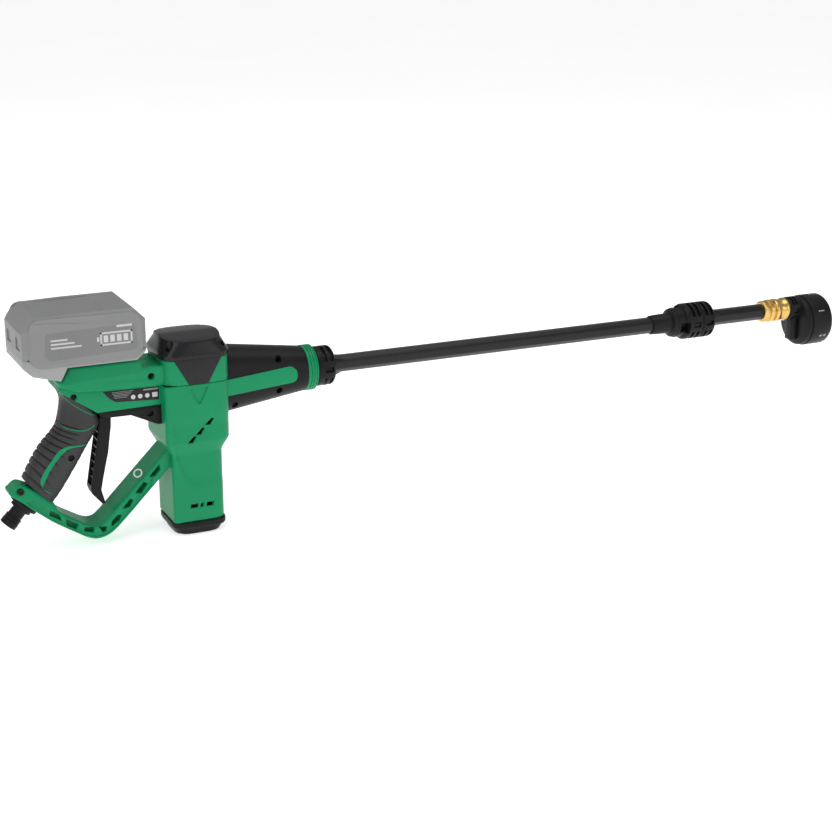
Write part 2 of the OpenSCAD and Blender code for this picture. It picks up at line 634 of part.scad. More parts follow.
module trigger() color(black) difference() {
  union() {
    difference() {
      slab(-trigger_y, trigger_y) polygon([
        [pivot_x - 5, pivot_z], [pivot_x + 5, pivot_z], [pivot_x + 6, at(-23)], [rear_x - 46.3, at(-34.2)],
        [rear_x - 56.3, at(-90.5)], [rear_x - 52.5, at(-104)], [rear_x - 54.8, at(-105)],
        [rear_x - 61, at(-95)], [rear_x - 65, at(-84.2)], [rear_x - 54.5, at(-30)]]);
      slab(-(trigger_y - trigger_side), trigger_y - trigger_side) polygon([
        [rear_x - 51.5, at(-28)], [rear_x - 49.3, at(-34.2)], [rear_x - 59.3, at(-89)], [rear_x - 56.5, at(-98)],
        [rear_x - 75, at(-90)], [rear_x - 75, at(-28)]]);
    }
    at_pivot() rod_y(-trigger_y, trigger_y, 5);
    for (h = [-80 : 11 : -36]) slab(-trigger_y + 0.5, trigger_y - 0.5)      // ribs across the channel
      polygon([[rear_x - 49.6 - (-h - 34.2) * 0.178, at(h)], [rear_x - 49.8 - (-h - 34.2) * 0.178, at(h - 1.2)],
        [rear_x - 54.5 - (-h - 34.2) * 0.178, at(h - 1.2)], [rear_x - 54.3 - (-h - 34.2) * 0.178, at(h)]]);
    slab(-4, 4) polygon([
      [pivot_x - 2, pivot_z], [pivot_x + 2, pivot_z], [pivot_x + 1.6, pivot_z + arm], [pivot_x - 1.6, pivot_z + arm]]);
    translate([pivot_x, 0, pivot_z + arm]) rod_y(-4, 4, nose_r);
  }
  at_pivot() rod_y(-50, 50, pin_r + run);
}
switch_x = pivot_x + nose_r + 4;
module micro_switch() color("darkslategray") difference() {
  block([switch_x, switch_x + 18], [-5, 5], [pivot_z + arm - 6, pivot_z + arm + 5]);
  translate([switch_x - 1, 0, pivot_z + arm]) rotate([0, 90, 0]) cylinder(h = 8, r = 1.5 + run);
}
module switch_plunger() color("red") translate([pivot_x + nose_r + 0.1, 0, pivot_z + arm]) rotate([0, 90, 0])
  cylinder(h = 6, r = 1.5);
module trigger_spring() color("silver") at_pivot() translate([0, trigger_slot + 3.6, 0]) rotate([90, 0, 0])
  translate([0, 0, 0.3]) coil(pin_r + 1, 0.35, 2.8, 2);
module control_board() color("darkgreen") {
  block([rear_x - 74, rear_x - 24], [-12, 12], [at(17), at(18.6)]);
  for (i = [0 : 2]) block([rear_x - 70 + 14 * i, rear_x - 62 + 14 * i], [-6, 6], [at(18.6) - eps, at(24)]);
}

// ---- battery
batt_x1 = rear_x - 16.5;
batt_x0 = batt_x1 - batt_len;
batt_top = at(85);
split_z = head_top + 4;
lip_low = rail_floor + 3.8;
chamfer = 11.5;
module battery_outline(lift) polygon([
  [batt_x0, split_z + lift], [batt_x0, batt_top - 14], [batt_x0 + 5, batt_top - 4.5], [batt_x0 + 11.5, batt_top],
  [batt_x1 - chamfer, batt_top], [batt_x1, batt_top - chamfer], [batt_x1, split_z + lift]]);
cell_count = 5;
cell_pitch = 2 * cell_r + 0.4;
cell_mid = (batt_x0 + batt_x1) / 2;
module battery_case() color("gray") difference() {
  slab(-batt_y, batt_y) battery_outline(0.1);
  slab(-(batt_y - wall), batt_y - wall) intersection() {
    offset(delta = -2.1) battery_outline(-10);
    translate([-500, 0]) square([900, 900]);
  }
}
module battery_cells() color("steelblue")
  for (i = [0 : cell_count - 1], k = [0, 1])
    translate([cell_mid + (i - (cell_count - 1) / 2) * cell_pitch, 0, split_z + 0.3 + cell_r + k * (2 * cell_r + 0.1)])
      rod_y(-32.5, 32.5, cell_r);
foot_x = tail_x + 5;
foot_z = at(24.6);
pocket_x = [batt_x0 + 9, batt_x0 + 28];
latch_top = split_z - 6;
batt_low = foot_z + 8.4;  // where the slope under the latch begins
module battery_cover() color("gray") difference() {
  slab(-batt_y, batt_y) polygon([
    [batt_x0, split_z], [batt_x0, split_z - 6], [batt_x0 + 8.5, batt_low], [foot_x, foot_z], [foot_x + 6.8, lip_low],
    [batt_x1 - 9, lip_low], [batt_x1 - 1, split_z - 3], [batt_x1, split_z]]);
  block([foot_x + 3, batt_x1 + 5], [-neck_y - 0.4, neck_y + 0.4], [lip_low - 20, neck_top]);
  block([foot_x + 3, batt_x1 + 5], [-head_y - 0.4, head_y + 0.4], [neck_top - 0.4, split_z - 1.2]);
  block(pocket_x, [-11.3, 11.3], [foot_z - 20, split_z - 2]);
}
latch_x = [pocket_x[0] + 0.3, pocket_x[1] - 0.3];
function slope_z(x) = batt_low + (x - batt_x0 - 8.5) * (foot_z - batt_low) / (foot_x - batt_x0 - 8.5);
module battery_latch() color("dimgray") slab(-11, 11) polygon([
  [latch_x[0], latch_top], [latch_x[1], latch_top],
  [latch_x[1], slope_z(latch_x[1]) - 0.6], [latch_x[0], slope_z(latch_x[0]) - 0.6]]);
module latch_spring() color("silver")
  translate([(latch_x[0] + latch_x[1]) / 2, 0, latch_top + 0.05]) coil(3, 0.35, split_z - 2 - latch_top - 0.1, 3);
module battery_terminals() color("gold") {
  block([rear_x - 34, rear_x - 22], [-13, 13], [head_top, head_top + 2.2]);
  for (i = [-1.5 : 1 : 1.5]) block([rear_x - 46, rear_x - 34 + eps], [7 * i - 0.4, 7 * i + 0.4], [head_top, head_top + 2]);
}

// ---- motor, gearbox and pump
gear_z = at(-46);        // underside of the gears
gear_w = 8;
plate_z = at(-50);
shaft_low = base_h + 1;
fan_z = base_h + 1.5;
bell_z = fan_z + 5;
can_z = bell_z + 6;
can_top = plate_z - 16;
ring_t = sun_t + 2 * planet_t;
orbit = gear_m * (sun_t + planet_t) / 2;
pressure = 25;
function roll(r, rb) = let (t = sqrt(max(0, (r / rb) * (r / rb) - 1))) t * 180 / PI - atan(t);
function tooth_half(r, rp, rb, teeth, slack) = 90 / teeth - slack / rp * 180 / PI + roll(rp, rb) - roll(max(r, rb), rb);
function gear_points(teeth, add, ded, slack) =
  let (rp = gear_m * teeth / 2, rb = rp * cos(pressure), r0 = rp - ded, r1 = rp + add, n = 5)
  [for (k = [0 : teeth - 1], i = [0 : 2 * n + 1])
    let (j = i <= n ? i : 2 * n + 1 - i, r = r0 + (r1 - r0) * j / n, h = tooth_half(r, rp, rb, teeth, slack),
      a = 360 * k / teeth + (i <= n ? -h : h)) [r * cos(a), r * sin(a)]];
tooth_add = 0.9 * gear_m;
tooth_ded = 1.25 * gear_m;
slack = 0.06;
module spur(teeth) translate([0, 0, gear_z]) linear_extrude(gear_w) polygon(gear_points(teeth, tooth_add, tooth_ded, slack));
ring_r = gear_m * ring_t / 2 + tooth_ded + 3;
module ring_gear() color("silver") difference() {
  translate([0, 0, gear_z - 1]) cylinder(h = gear_w + 2, r = ring_r);
  translate([0, 0, gear_z - 2]) rotate(180 / ring_t) linear_extrude(gear_w + 4)
    polygon(gear_points(ring_t, tooth_ded, tooth_add, -slack));
}
module sun_gear() color("silver") difference() {
  spur(sun_t);
  cylinder(h = 400, r = shaft_r);
}
module planet(k) color("ivory") rotate(120 * (k - 1)) translate([orbit, 0, 0]) difference() {
  rotate(180 / planet_t) spur(planet_t);
  cylinder(h = 400, r = planet_pin_r + run);
}
module planet_gear_1() planet(1);
module planet_gear_2() planet(2);
module planet_gear_3() planet(3);
planet_pin_r = 2;
carrier_z = gear_z + gear_w + 1;
carrier_h = 3;
swash_r = 17;
piston_orbit = 12;
swash_tilt = atan(stroke / (2 * piston_orbit));
swash_z = carrier_z + carrier_h;
swash_mid = swash_z + 2 + swash_r * tan(swash_tilt);
swash_high = swash_mid + swash_r * tan(swash_tilt);
module planet_carrier() color("silver") {
  translate([0, 0, carrier_z]) cylinder(h = carrier_h, r = orbit + planet_pin_r + 2.5);
  for (k = [0 : 2]) rotate(120 * k) translate([orbit, 0, gear_z - 0.4]) cylinder(h = gear_w + 1.5, r = planet_pin_r);
}
hub_low = swash_high + 4;
block_low = hub_low + 10;
block_top = block_low + 18 + stroke;
swash_axle_r = 4;
module swash_plate() color("silver") {
  difference() {
    translate([0, 0, swash_z]) cylinder(h = 40, r = swash_r);
    translate([0, 0, swash_mid]) rotate([0, swash_tilt, 0]) translate([-60, -60, 0]) cube([120, 120, 80]);
  }
  translate([0, 0, swash_mid - 1]) cylinder(h = block_low - 1.5 - swash_mid, r = swash_axle_r);
}
foot_r = 4.8;
foot_low = swash_high + 0.4;
function piston_turn(k) = 60 + 120 * (k - 1);
module piston(k) color("whitesmoke") rotate(piston_turn(k)) translate([piston_orbit, 0, foot_low]) {
  cylinder(h = 2.2, r = foot_r);
  cylinder(h = block_top - stroke - 2 - foot_low, r = piston_r);
}
module piston_1() piston(1);
module piston_2() piston(2);
module piston_3() piston(3);
module piston_springs() color("silver") for (k = [1 : 3])
  rotate(piston_turn(k)) translate([piston_orbit, 0, foot_low + 2.25])
    coil(piston_r + 0.75, 0.4, block_low - foot_low - 2.3, 4);
module pump_block() color("lightsteelblue") difference() {
  union() {
    translate([0, 0, block_low]) cylinder(h = block_top - block_low, r = pump_r);
    translate([0, 0, hub_low]) cylinder(h = 11, r = swash_axle_r + 2.4);
    translate([0, 0, block_low]) cylinder(h = 4, r = barrel_a - wall - 0.5);
  }
  translate([0, 0, hub_low - 1]) cylinder(h = block_low - hub_low + 0.5, r = swash_axle_r + run);
  for (k = [1 : 3]) rotate(piston_turn(k)) translate([piston_orbit, 0, block_low - 1]) cylinder(h = 60, r = piston_r + run);
  along_x(pump_r - 6, pump_r + 20, bore_r - 1.5);
}
module pump_head() color("lightsteelblue") difference() {
  translate([0, 0, block_top + 0.1]) cylinder(h = ring_top - block_top - 4, r = pump_r);
  for (k = [0 : 5]) rotate(60 * k) translate([pump_r - 3.5, 0, ring_top - 10]) cylinder(h = 40, r = 1.6, $fn = 24);
}
module outlet_pipe() color("silver") difference() {
  along_x(pump_r + 0.1, ring_x1 - plug_len - 2, bore_r);
  along_x(0, ring_x1, bore_r - 1.5);
}
module gearbox_plate() color("darkslategray") difference() {
  translate([0, 0, plate_z]) cylinder(h = 3 - 0.05, r = ring_r);
  cylinder(h = 400, r = 6);
}
module motor_can() color("silver") difference() {
  translate([0, 0, can_z]) cylinder(h = can_top - can_z, r = can_r);
  translate([0, 0, can_z - 1]) cylinder(h = can_top - can_z - 1, r = can_r - 4.2);
  cylinder(h = 400, r = shaft_r + run);
}
module motor_end_bell() color("black") difference() {
  translate([0, 0, bell_z]) cylinder(h = can_z - bell_z - 0.05, r = can_r);
  cylinder(h = 400, r = shaft_r + run);
}
module motor_rotor() color("darkgoldenrod") {
  translate([0, 0, shaft_low]) cylinder(h = gear_z + gear_w + 0.4 - shaft_low, r = shaft_r);
  translate([0, 0, can_z + 8]) cylinder(h = can_top - can_z - 16, r = can_r - 5);
  translate([0, 0, can_z + 1]) cylinder(h = 6, r = shaft_r + 3);
}
fan_blades = 9;
module cooling_fan() color("dimgray") difference() {
  union() {
    translate([0, 0, fan_z]) cylinder(h = 1.2, r = can_r - 2);
    translate([0, 0, fan_z]) cylinder(h = 4, r = shaft_r + 2);
    for (k = [0 : fan_blades - 1]) rotate(360 / fan_blades * k) translate([shaft_r + 1, -0.5, fan_z])
      cube([can_r - shaft_r - 4, 1, 4]);
  }
  cylinder(h = 100, r = shaft_r);
}

housing_right();
housing_left();
motor_barrel();
top_cap();
base_cap();
grip_rubber_right();
grip_rubber_left();
foregrip_right();
foregrip_left();
foregrip_inlays();
front_ring();
trigger_surround();
housing_screws();
cap_screws();
inlet_nipple();
inlet_oring();
inlet_hose();
micro_switch();
control_board();
battery_terminals();
motor_can();
motor_end_bell();
gearbox_plate();
ring_gear();
pump_block();
pump_head();
outlet_pipe();
lance_receiver();
trigger_pin();
trigger_spring();
trigger();
switch_plunger();
battery_case();
battery_cover();
battery_cells();
battery_latch();
latch_spring();
motor_rotor();
cooling_fan();
sun_gear();
planet_carrier();
swash_plate();
planet_gear_1();
planet_gear_2();
planet_gear_3();
piston_1();
piston_2();
piston_3();
piston_springs();
lance_tube();
lance_oring();
lance_socket();
extension_tube();
coupler_body();
coupler_collar();
nozzle_plug();
nozzle_body();
nozzle_drum();
nozzle_tips();
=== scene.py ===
# %% [markdown]
# # A cordless pressure washer gun
# This notebook dresses a finished mechanical model: a gun whose parts, sizes and joints are already fixed.
# The frame holds one object per part. Small inner parts keep their mesh and get a finish and soft edges.
# The parts that the eye rests on are modelled again here, inside the same space, with the detail of a
# moulding.

# %% Load the frame
import json
import math
import bpy
import bmesh
from mathutils import Matrix, Vector


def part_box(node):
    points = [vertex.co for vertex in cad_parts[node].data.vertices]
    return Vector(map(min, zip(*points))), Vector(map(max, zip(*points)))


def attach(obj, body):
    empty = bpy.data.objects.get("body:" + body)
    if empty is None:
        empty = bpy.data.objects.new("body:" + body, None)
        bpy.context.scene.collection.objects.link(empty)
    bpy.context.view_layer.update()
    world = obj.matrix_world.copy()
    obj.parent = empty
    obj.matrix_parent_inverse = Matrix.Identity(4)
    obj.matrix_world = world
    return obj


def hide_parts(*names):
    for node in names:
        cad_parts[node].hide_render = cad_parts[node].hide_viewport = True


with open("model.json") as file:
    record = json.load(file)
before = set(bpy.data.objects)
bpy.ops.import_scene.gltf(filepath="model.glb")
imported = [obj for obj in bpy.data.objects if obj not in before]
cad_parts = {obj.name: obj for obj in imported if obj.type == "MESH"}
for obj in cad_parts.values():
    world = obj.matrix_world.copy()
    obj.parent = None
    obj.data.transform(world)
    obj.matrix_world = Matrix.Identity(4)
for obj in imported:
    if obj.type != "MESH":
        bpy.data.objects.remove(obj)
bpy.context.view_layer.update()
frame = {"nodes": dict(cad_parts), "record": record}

nodes = frame["nodes"]

# %% [markdown]
# All the shapes below are worked out in millimetres, because that is how such a gun is drawn. Their places
# come from the frame's own boxes: the lance's axis, the back of the barrel and the ends of each moulding.
# When the frame changes size, the pieces follow.

# %% Places taken from the frame
def box_mm(node):
    low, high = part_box(node)
    return low * 1000, high * 1000


def at(height):
    """A height measured up from the lance's axis."""
    return AXIS_Z + height


tube_low, tube_high = box_mm("lance_tube")
AXIS_Z = (tube_low.z + tube_high.z) / 2
BARREL = box_mm("motor_barrel")[1].x
REAR = -BARREL
print("lance axis %.1f mm up, barrel half width %.1f mm" % (AXIS_Z, BARREL))

# %% [markdown]
# ## Shader arithmetic
# A finish is a small program of nodes. Writing it as arithmetic keeps it readable: the class wraps a socket
# and each operator adds the Math node that does it. Other nodes come from one method, which takes a node's
# type, its settings and what goes into its sockets.

# %% Wrap sockets so that finishes read as formulas
class Value:
    def __init__(self, finish, socket):
        self.finish = finish
        self.socket = socket

    def math(self, operation, *others):
        return self.finish.node("ShaderNodeMath", {"operation": operation}, dict(enumerate((self,) + others)))

    def __add__(self, other):
        return self.math("ADD", other)

    def __sub__(self, other):
        return self.math("SUBTRACT", other)

    def __rsub__(self, other):
        return self.finish.node("ShaderNodeMath", {"operation": "SUBTRACT"}, {0: other, 1: self})

    def __mul__(self, other):
        return self.math("MULTIPLY", other)

    __radd__ = __add__
    __rmul__ = __mul__


class Finish:
    def __init__(self, name):
        self.material = bpy.data.materials.new(name)
        self.material.use_nodes = True
        self.tree = self.material.node_tree
        self.shader = self.tree.nodes["Principled BSDF"]

    def feed(self, socket, value):
        if isinstance(value, Value):
            self.tree.links.new(value.socket, socket)
        else:
            socket.default_value = value

    def node(self, kind, settings=None, inputs=None, output=0):
        made = self.tree.nodes.new(kind)
        for key, value in (settings or {}).items():
            setattr(made, key, value)
        for key, value in (inputs or {}).items():
            self.feed(made.inputs[key], value)
        return Value(self, made.outputs[output])

    def noise(self, scale, detail, stretch=(1, 1, 1)):
        """Noise on the piece's own coordinates, in metres, stretched along its axes."""
        spot = self.node("ShaderNodeTexCoord", output="Object")
        place = self.node("ShaderNodeMapping", None, {"Vector": spot, "Scale": stretch})
        return self.node("ShaderNodeTexNoise", None, {"Vector": place, "Scale": scale, "Detail": detail})

    def blend(self, factor, dark, light):
        """A colour between two, by a factor."""
        inputs = {0: factor, 6: (*dark, 1), 7: (*light, 1)}
        return self.node("ShaderNodeMix", {"data_type": "RGBA"}, inputs, 2)

    def bump(self, height, distance):
        inputs = {"Height": height, "Distance": distance, "Strength": 1.0}
        self.set("Normal", self.node("ShaderNodeBump", None, inputs))

    def set(self, socket, value):
        self.feed(self.shader.inputs[socket], value)

# %% [markdown]
# ## Moulded plastics
# The green and black shells are glass-filled nylon. Its skin copies the mould's spark-eroded grain: a fine
# pebble that scatters light softly, with slow variations in sheen where the melt cooled unevenly. Two
# noises do this, one fine for the grain's height and one slow for the colour and the roughness.

# %% Moulded plastics and rubbers
def moulded(name, dark, light, rough, grain=0.00006, grain_scale=2200, coat=0.0, shine=0.3):
    finish = Finish(name)
    slow = finish.noise(28, 4)
    fine = finish.noise(grain_scale, 2)
    finish.set("Base Color", finish.blend(slow, dark, light))
    finish.set("Roughness", rough + (slow - 0.5) * 0.14 + (fine - 0.5) * 0.08)
    finish.set("Specular IOR Level", shine)
    finish.set("Coat Weight", coat)
    finish.set("Coat Roughness", 0.25)
    finish.bump(fine, grain)
    return finish


GREEN_DARK = (0.002, 0.225, 0.086)
GREEN_LIGHT = (0.003, 0.285, 0.114)
BLACK_DARK = (0.006, 0.006, 0.0065)
BLACK_LIGHT = (0.012, 0.012, 0.013)
finishes = {
    "green_plastic": moulded("green nylon", GREEN_DARK, GREEN_LIGHT, 0.40, coat=0.03, shine=0.2),
    "black_plastic": moulded("black nylon", BLACK_DARK, BLACK_LIGHT, 0.40, shine=0.16),
    "gloss_black_plastic": moulded("satin black", (0.008, 0.008, 0.009), (0.015, 0.015, 0.017), 0.28, 0.00002,
                                   shine=0.26),
    "grey_plastic": moulded("battery grey", (0.215, 0.216, 0.218), (0.255, 0.256, 0.258), 0.50),
    "soft_grip": moulded("grip rubber", (0.016, 0.016, 0.0165), (0.030, 0.030, 0.031), 0.60, 0.00008, 1500,
                         shine=0.5),
    "seal": moulded("seal rubber", (0.008, 0.008, 0.008), (0.014, 0.014, 0.014), 0.55),
    "hose": moulded("hose", (0.10, 0.10, 0.11), (0.15, 0.15, 0.16), 0.5),
    "acetal": moulded("acetal", (0.72, 0.70, 0.64), (0.80, 0.78, 0.72), 0.35),
    "ceramic": moulded("ceramic", (0.80, 0.80, 0.78), (0.88, 0.88, 0.86), 0.14, 0.00001),
    "circuit_board": moulded("solder mask", (0.008, 0.10, 0.03), (0.015, 0.16, 0.05), 0.3),
    "cell_wrap": moulded("cell wrap", (0.03, 0.12, 0.28), (0.05, 0.17, 0.36), 0.28),
    "red_plastic": moulded("red button", (0.40, 0.02, 0.015), (0.52, 0.03, 0.02), 0.3),
}
print("moulded finishes:", len(finishes))

# %% [markdown]
# ## Metals
# The coupler is turned brass. A lathe leaves rings round the axis, so its grain is a noise stretched thin
# across the lance and long round it. The steels and the cast pump use the same recipe with their own
# colours.

# %% Metals
def metal(name, dark, light, rough, stretch=(60, 4, 4), marks=0.000006):
    finish = Finish(name)
    lines = finish.noise(60, 5, stretch)
    stain = finish.noise(90, 4)
    finish.set("Base Color", finish.blend(stain, dark, light))
    finish.set("Metallic", 1.0)
    finish.set("Roughness", rough + (lines - 0.5) * 0.16 + (stain - 0.5) * 0.10)
    finish.bump(lines, marks)
    return finish


finishes["brass"] = metal("turned brass", (0.60, 0.38, 0.10), (0.86, 0.60, 0.22), 0.26)
finishes["steel"] = metal("plated steel", (0.50, 0.50, 0.51), (0.66, 0.66, 0.67), 0.28, (4, 4, 60))
finishes["aluminium"] = metal("cast aluminium", (0.55, 0.56, 0.57), (0.70, 0.71, 0.72), 0.42, (20, 20, 20))
finishes["copper_winding"] = metal("copper winding", (0.42, 0.16, 0.06), (0.62, 0.27, 0.11), 0.35, (6, 6, 90))
slot_of = {part["node"]: part["material_slot"] for part in frame["record"]["subparts"]}
finishes["black screw"] = metal("blackened steel", (0.020, 0.020, 0.021), (0.035, 0.035, 0.037), 0.42)
for name, part in nodes.items():
    look = "black screw" if name in ("housing_screws", "cap_screws") else slot_of[name]
    part.data.materials.clear()
    part.data.materials.append(finishes[look].material)
finishes["print"] = moulded("white print", (0.50, 0.50, 0.50), (0.60, 0.60, 0.60), 0.5, 0.00001)
finishes["faded print"] = moulded("faded print", (0.20, 0.205, 0.21), (0.26, 0.265, 0.27), 0.5, 0.00001)
print("finishes:", len(finishes), "on", len(nodes), "parts")

# %% [markdown]
# ## Soft edges on the machined parts
# No real edge is perfectly sharp. The frame's meshes are loose triangles, so a Weld modifier joins them, a
# planar Decimate clears the triangles from flat faces, and a Bevel rounds what is left. The mesh itself
# stays as it was.

# %% Round the edges of the parts that stay
def modify(made, kind, **settings):
    added = made.modifiers.new(kind.lower(), kind)
    for key, value in settings.items():
        setattr(added, key, value)


def soften(part, width):
    modify(part, "WELD", merge_threshold=0.000004)
    modify(part, "DECIMATE", decimate_type="DISSOLVE", angle_limit=math.radians(1.0))
    modify(part, "BEVEL", limit_method="ANGLE", angle_limit=math.radians(32), width=width / 1000, segments=2,
           use_clamp_overlap=True, harden_normals=True)
    part.data.shade_smooth()
    print("softened", part.name)


for name, width in {"trigger_surround": 0.9, "battery_latch": 0.6, "inlet_nipple": 0.5}.items():
    soften(nodes[name], width)

# %% [markdown]
# ## Tools for new pieces
# A piece starts as a bmesh in millimetres. `Piece` keeps it and offers the few moves that all the mouldings
# share: a ring of points, a skin between rings, a slab from an outline, a profile spun on its axis, and
# cutters. Its last step applies the modifiers, scales the piece to metres and hands it to the frame.

# %% Start, shape and finish a piece
class Piece:
    def __init__(self, name):
        self.name = name
        self.bm = bmesh.new()

    def ring(self, count, place):
        """A closed ring of count points; place(turn) gives the point at a turn from 0 to 1."""
        verts = bmesh.ops.create_circle(self.bm, segments=count, radius=1)["verts"]
        for i, vert in enumerate(verts):
            vert.co = place(i / count)
        return verts

    def square(self, z, half, power, half_y=None, count=96):
        """A level ring in the shape of a square with soft corners."""
        return self.ring(count, lambda turn: rounded_square(half, power, z, turn, half_y))

    def skin(self, rings, closed=True):
        """Bridges each ring to the next, and caps the first and last."""
        for a, b in zip(rings, rings[1:]):
            ends = (set(a), set(b))
            loops = dict.fromkeys(e for v in a + b for e in v.link_edges
                                  if any(set(e.verts) <= end for end in ends))
            bmesh.ops.bridge_loops(self.bm, edges=list(loops))
        if closed:
            for end in (rings[0], rings[-1]):
                bmesh.ops.contextual_create(self.bm, geom=end)
        return self

    def slab(self, outline, y0, y1, corner=0.0, rim=0.0, inner=0.0, segments=3):
        """An outline in X and Z with its corners rounded, grown from y0 to y1, with rounded rims."""
        start = set(self.bm.faces)
        face = self.bm.faces.new([self.bm.verts.new((x, y0, z)) for x, z in outline])
        if corner:
            bmesh.ops.bevel(self.bm, geom=list(face.verts), affect="VERTICES", offset=corner,
                            segments=6, profile=0.5, material=-1)
            face = next(f for f in self.bm.faces if f not in start)
        grown = bmesh.ops.extrude_face_region(self.bm, geom=[face])
        verts = [g for g in grown["geom"] if isinstance(g, bmesh.types.BMVert)]
        bmesh.ops.translate(self.bm, vec=(0, y1 - y0, 0), verts=verts)
        for y, width in ((y1, rim), (y0, inner)):
            if width:
                edges = dict.fromkeys(e for f in self.bm.faces if f not in start for e in f.edges
                                      if all(abs(v.co.y - y) < 1e-4 for v in e.verts))
                bmesh.ops.bevel(self.bm, geom=list(edges), affect="EDGES", offset=width,
                                segments=segments, profile=0.5, material=-1, clamp_overlap=True)
        return self

    def turned(self, profile, axis_z=None):
        """A profile of (x, radius) points spun round a line along X."""
        axis_z = axis_z or AXIS_Z
        verts = [self.bm.verts.new((x, 0, axis_z + r)) for x, r in profile]
        edges = [self.bm.edges.new(pair) for pair in zip(verts, verts[1:])]
        bmesh.ops.spin(self.bm, geom=verts + edges, cent=(0, 0, axis_z), axis=(1, 0, 0),
                       angle=2 * math.pi, steps=96, use_merge=True)
        bmesh.ops.remove_doubles(self.bm, verts=self.bm.verts, dist=0.0005)
        return self

    def sector(self, x0, x1, r0, r1, turn, span):
        """A block bent round the lance's axis: a cutter for a slot in a collar."""
        corners = ((x0, r0), (x1, r0), (x1, r1), (x0, r1))
        face = self.bm.faces.new([self.bm.verts.new((x, 0, AXIS_Z + r)) for x, r in corners])
        start = Matrix.Rotation(math.radians(turn - span / 2), 3, "X")
        bmesh.ops.rotate(self.bm, cent=(0, 0, AXIS_Z), matrix=start, verts=face.verts)
        bmesh.ops.spin(self.bm, geom=[face], cent=(0, 0, AXIS_Z), axis=(1, 0, 0),
                       angle=math.radians(span), steps=8)
        return self

    def rod(self, radius, depth, matrix, segments=32):
        bmesh.ops.create_cone(self.bm, cap_ends=True, segments=segments, radius1=radius, radius2=radius,
                              depth=depth, matrix=matrix)
        return self

    def drill(self, x, z, radius, y0, y1):
        place = Matrix.Translation((x, (y0 + y1) / 2, z)) @ Matrix.Rotation(math.pi / 2, 4, "X")
        return self.rod(radius, abs(y1 - y0), place)

    def seat(self, x, z, near, far):
        """A screw's seat, drilled in from the right to near and from the left to far."""
        return self.drill(x, z, 3.2, -40, -near).drill(x, z, 3.2, far, 40)

    def corner_seats(self, reach, z, depth, segments):
        """Four upright screw seats, one at each corner of the barrel."""
        for sx in (-1, 1):
            for sy in (-1, 1):
                self.rod(3.3, depth, Matrix.Translation((sx * reach, sy * reach, z)), segments)
        return self

    def sheet(self, across, along, place):
        """A grid of faces; place(s, w) gives the point at s along and w across, both from 0 to 1."""
        verts = bmesh.ops.create_grid(self.bm, x_segments=along, y_segments=across, size=0.5)["verts"]
        for vert in verts:
            vert.co = place(vert.co.x + 0.5, vert.co.y + 0.5)
        return self

    def object(self):
        bmesh.ops.recalc_face_normals(self.bm, faces=self.bm.faces)
        bmesh.ops.scale(self.bm, vec=(0.001, 0.001, 0.001), verts=self.bm.verts)
        mesh = bpy.data.meshes.new(self.name)
        self.bm.to_mesh(mesh)
        self.bm.free()
        made = bpy.data.objects.new(self.name, mesh)
        bpy.context.scene.collection.objects.link(made)
        return made

    def done(self, finish, body, *stands_for, bevel=0.0, angle=30, segments=2, wall=0.0, cut=None, keep=None,
             sharp=38, look=None):
        """Thickens, cuts and rounds the piece, gives it its finish and hands it to the frame."""
        made = self.object()
        tools = [(how, other.object()) for how, other in (("INTERSECT", keep), ("DIFFERENCE", cut)) if other]
        if wall:
            modify(made, "SOLIDIFY", thickness=wall / 1000, offset=-1)
        for operation, tool in tools:
            modify(made, "BOOLEAN", operation=operation, solver="EXACT", use_self=True, object=tool)
        if bevel and tools:
            modify(made, "WELD", merge_threshold=0.00002)
        if bevel:
            modify(made, "BEVEL", limit_method="ANGLE", angle_limit=math.radians(angle), width=bevel / 1000,
                   segments=segments, use_clamp_overlap=True)
        bake(made)
        for operation, tool in tools:
            bpy.data.objects.remove(tool)
        made.data.shade_smooth()
        made.data.set_sharp_from_angle(angle=math.radians(sharp))
        made.data.materials.clear()
        made.data.materials.append(finishes[look or finish].material)
        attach(made, body)
        if stands_for:
            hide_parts(*stands_for)
        print("%-24s %6d faces" % (self.name, len(made.data.polygons)))


def bake(made):
    """Replaces the mesh by what its modifiers make of it."""
    bpy.context.view_layer.update()
    seen = made.evaluated_get(bpy.context.evaluated_depsgraph_get())
    mesh = bpy.data.meshes.new_from_object(seen)
    made.modifiers.clear()
    made.data = mesh

# %% [markdown]
# ## Curves
# Three small formulas shape every loft. A superellipse is a circle pushed out towards a square: a high
# power gives tight corners. A Catmull-Rom curve runs smoothly through a few chosen points, so an outline
# needs only the points where it bends. A smooth step fades one shape into the next.

# %% Soft squares, smooth lines and smooth steps
def soft(value, power):
    """Pushes a sine or cosine outwards, which turns a circle into a square with soft corners."""
    return math.copysign(abs(value) ** (2 / power), value)


def rounded_square(half, power, z, turn, half_y=None):
    """A point on a square with soft corners, at a turn from 0 to 1."""
    a = 2 * math.pi * turn
    return Vector((half * soft(math.cos(a), power), (half_y or half) * soft(math.sin(a), power), z))


def curve(points, share):
    """A smooth line through points, at a share from 0 to 1 of their number."""
    reach = share * (len(points) - 1)
    i = min(int(reach), len(points) - 2)
    t = reach - i
    p0, p1, p2, p3 = (Vector(points[min(max(k, 0), len(points) - 1)]) for k in (i - 1, i, i + 1, i + 2))
    return 0.5 * (2 * p1 + (p2 - p0) * t + (2 * p0 - 5 * p1 + 4 * p2 - p3) * t ** 2
                  + (3 * p1 - p0 - 3 * p2 + p3) * t ** 3)


def line(points, share):
    """The smooth line through (x, z) points measured from the barrel's back and the lance's axis."""
    return curve([(REAR + x, 0, at(z)) for x, z in points], share)


def smooth(low, high, value):
    t = min(1.0, max(0.0, (value - low) / (high - low)))
    return t * t * (3 - 2 * t)


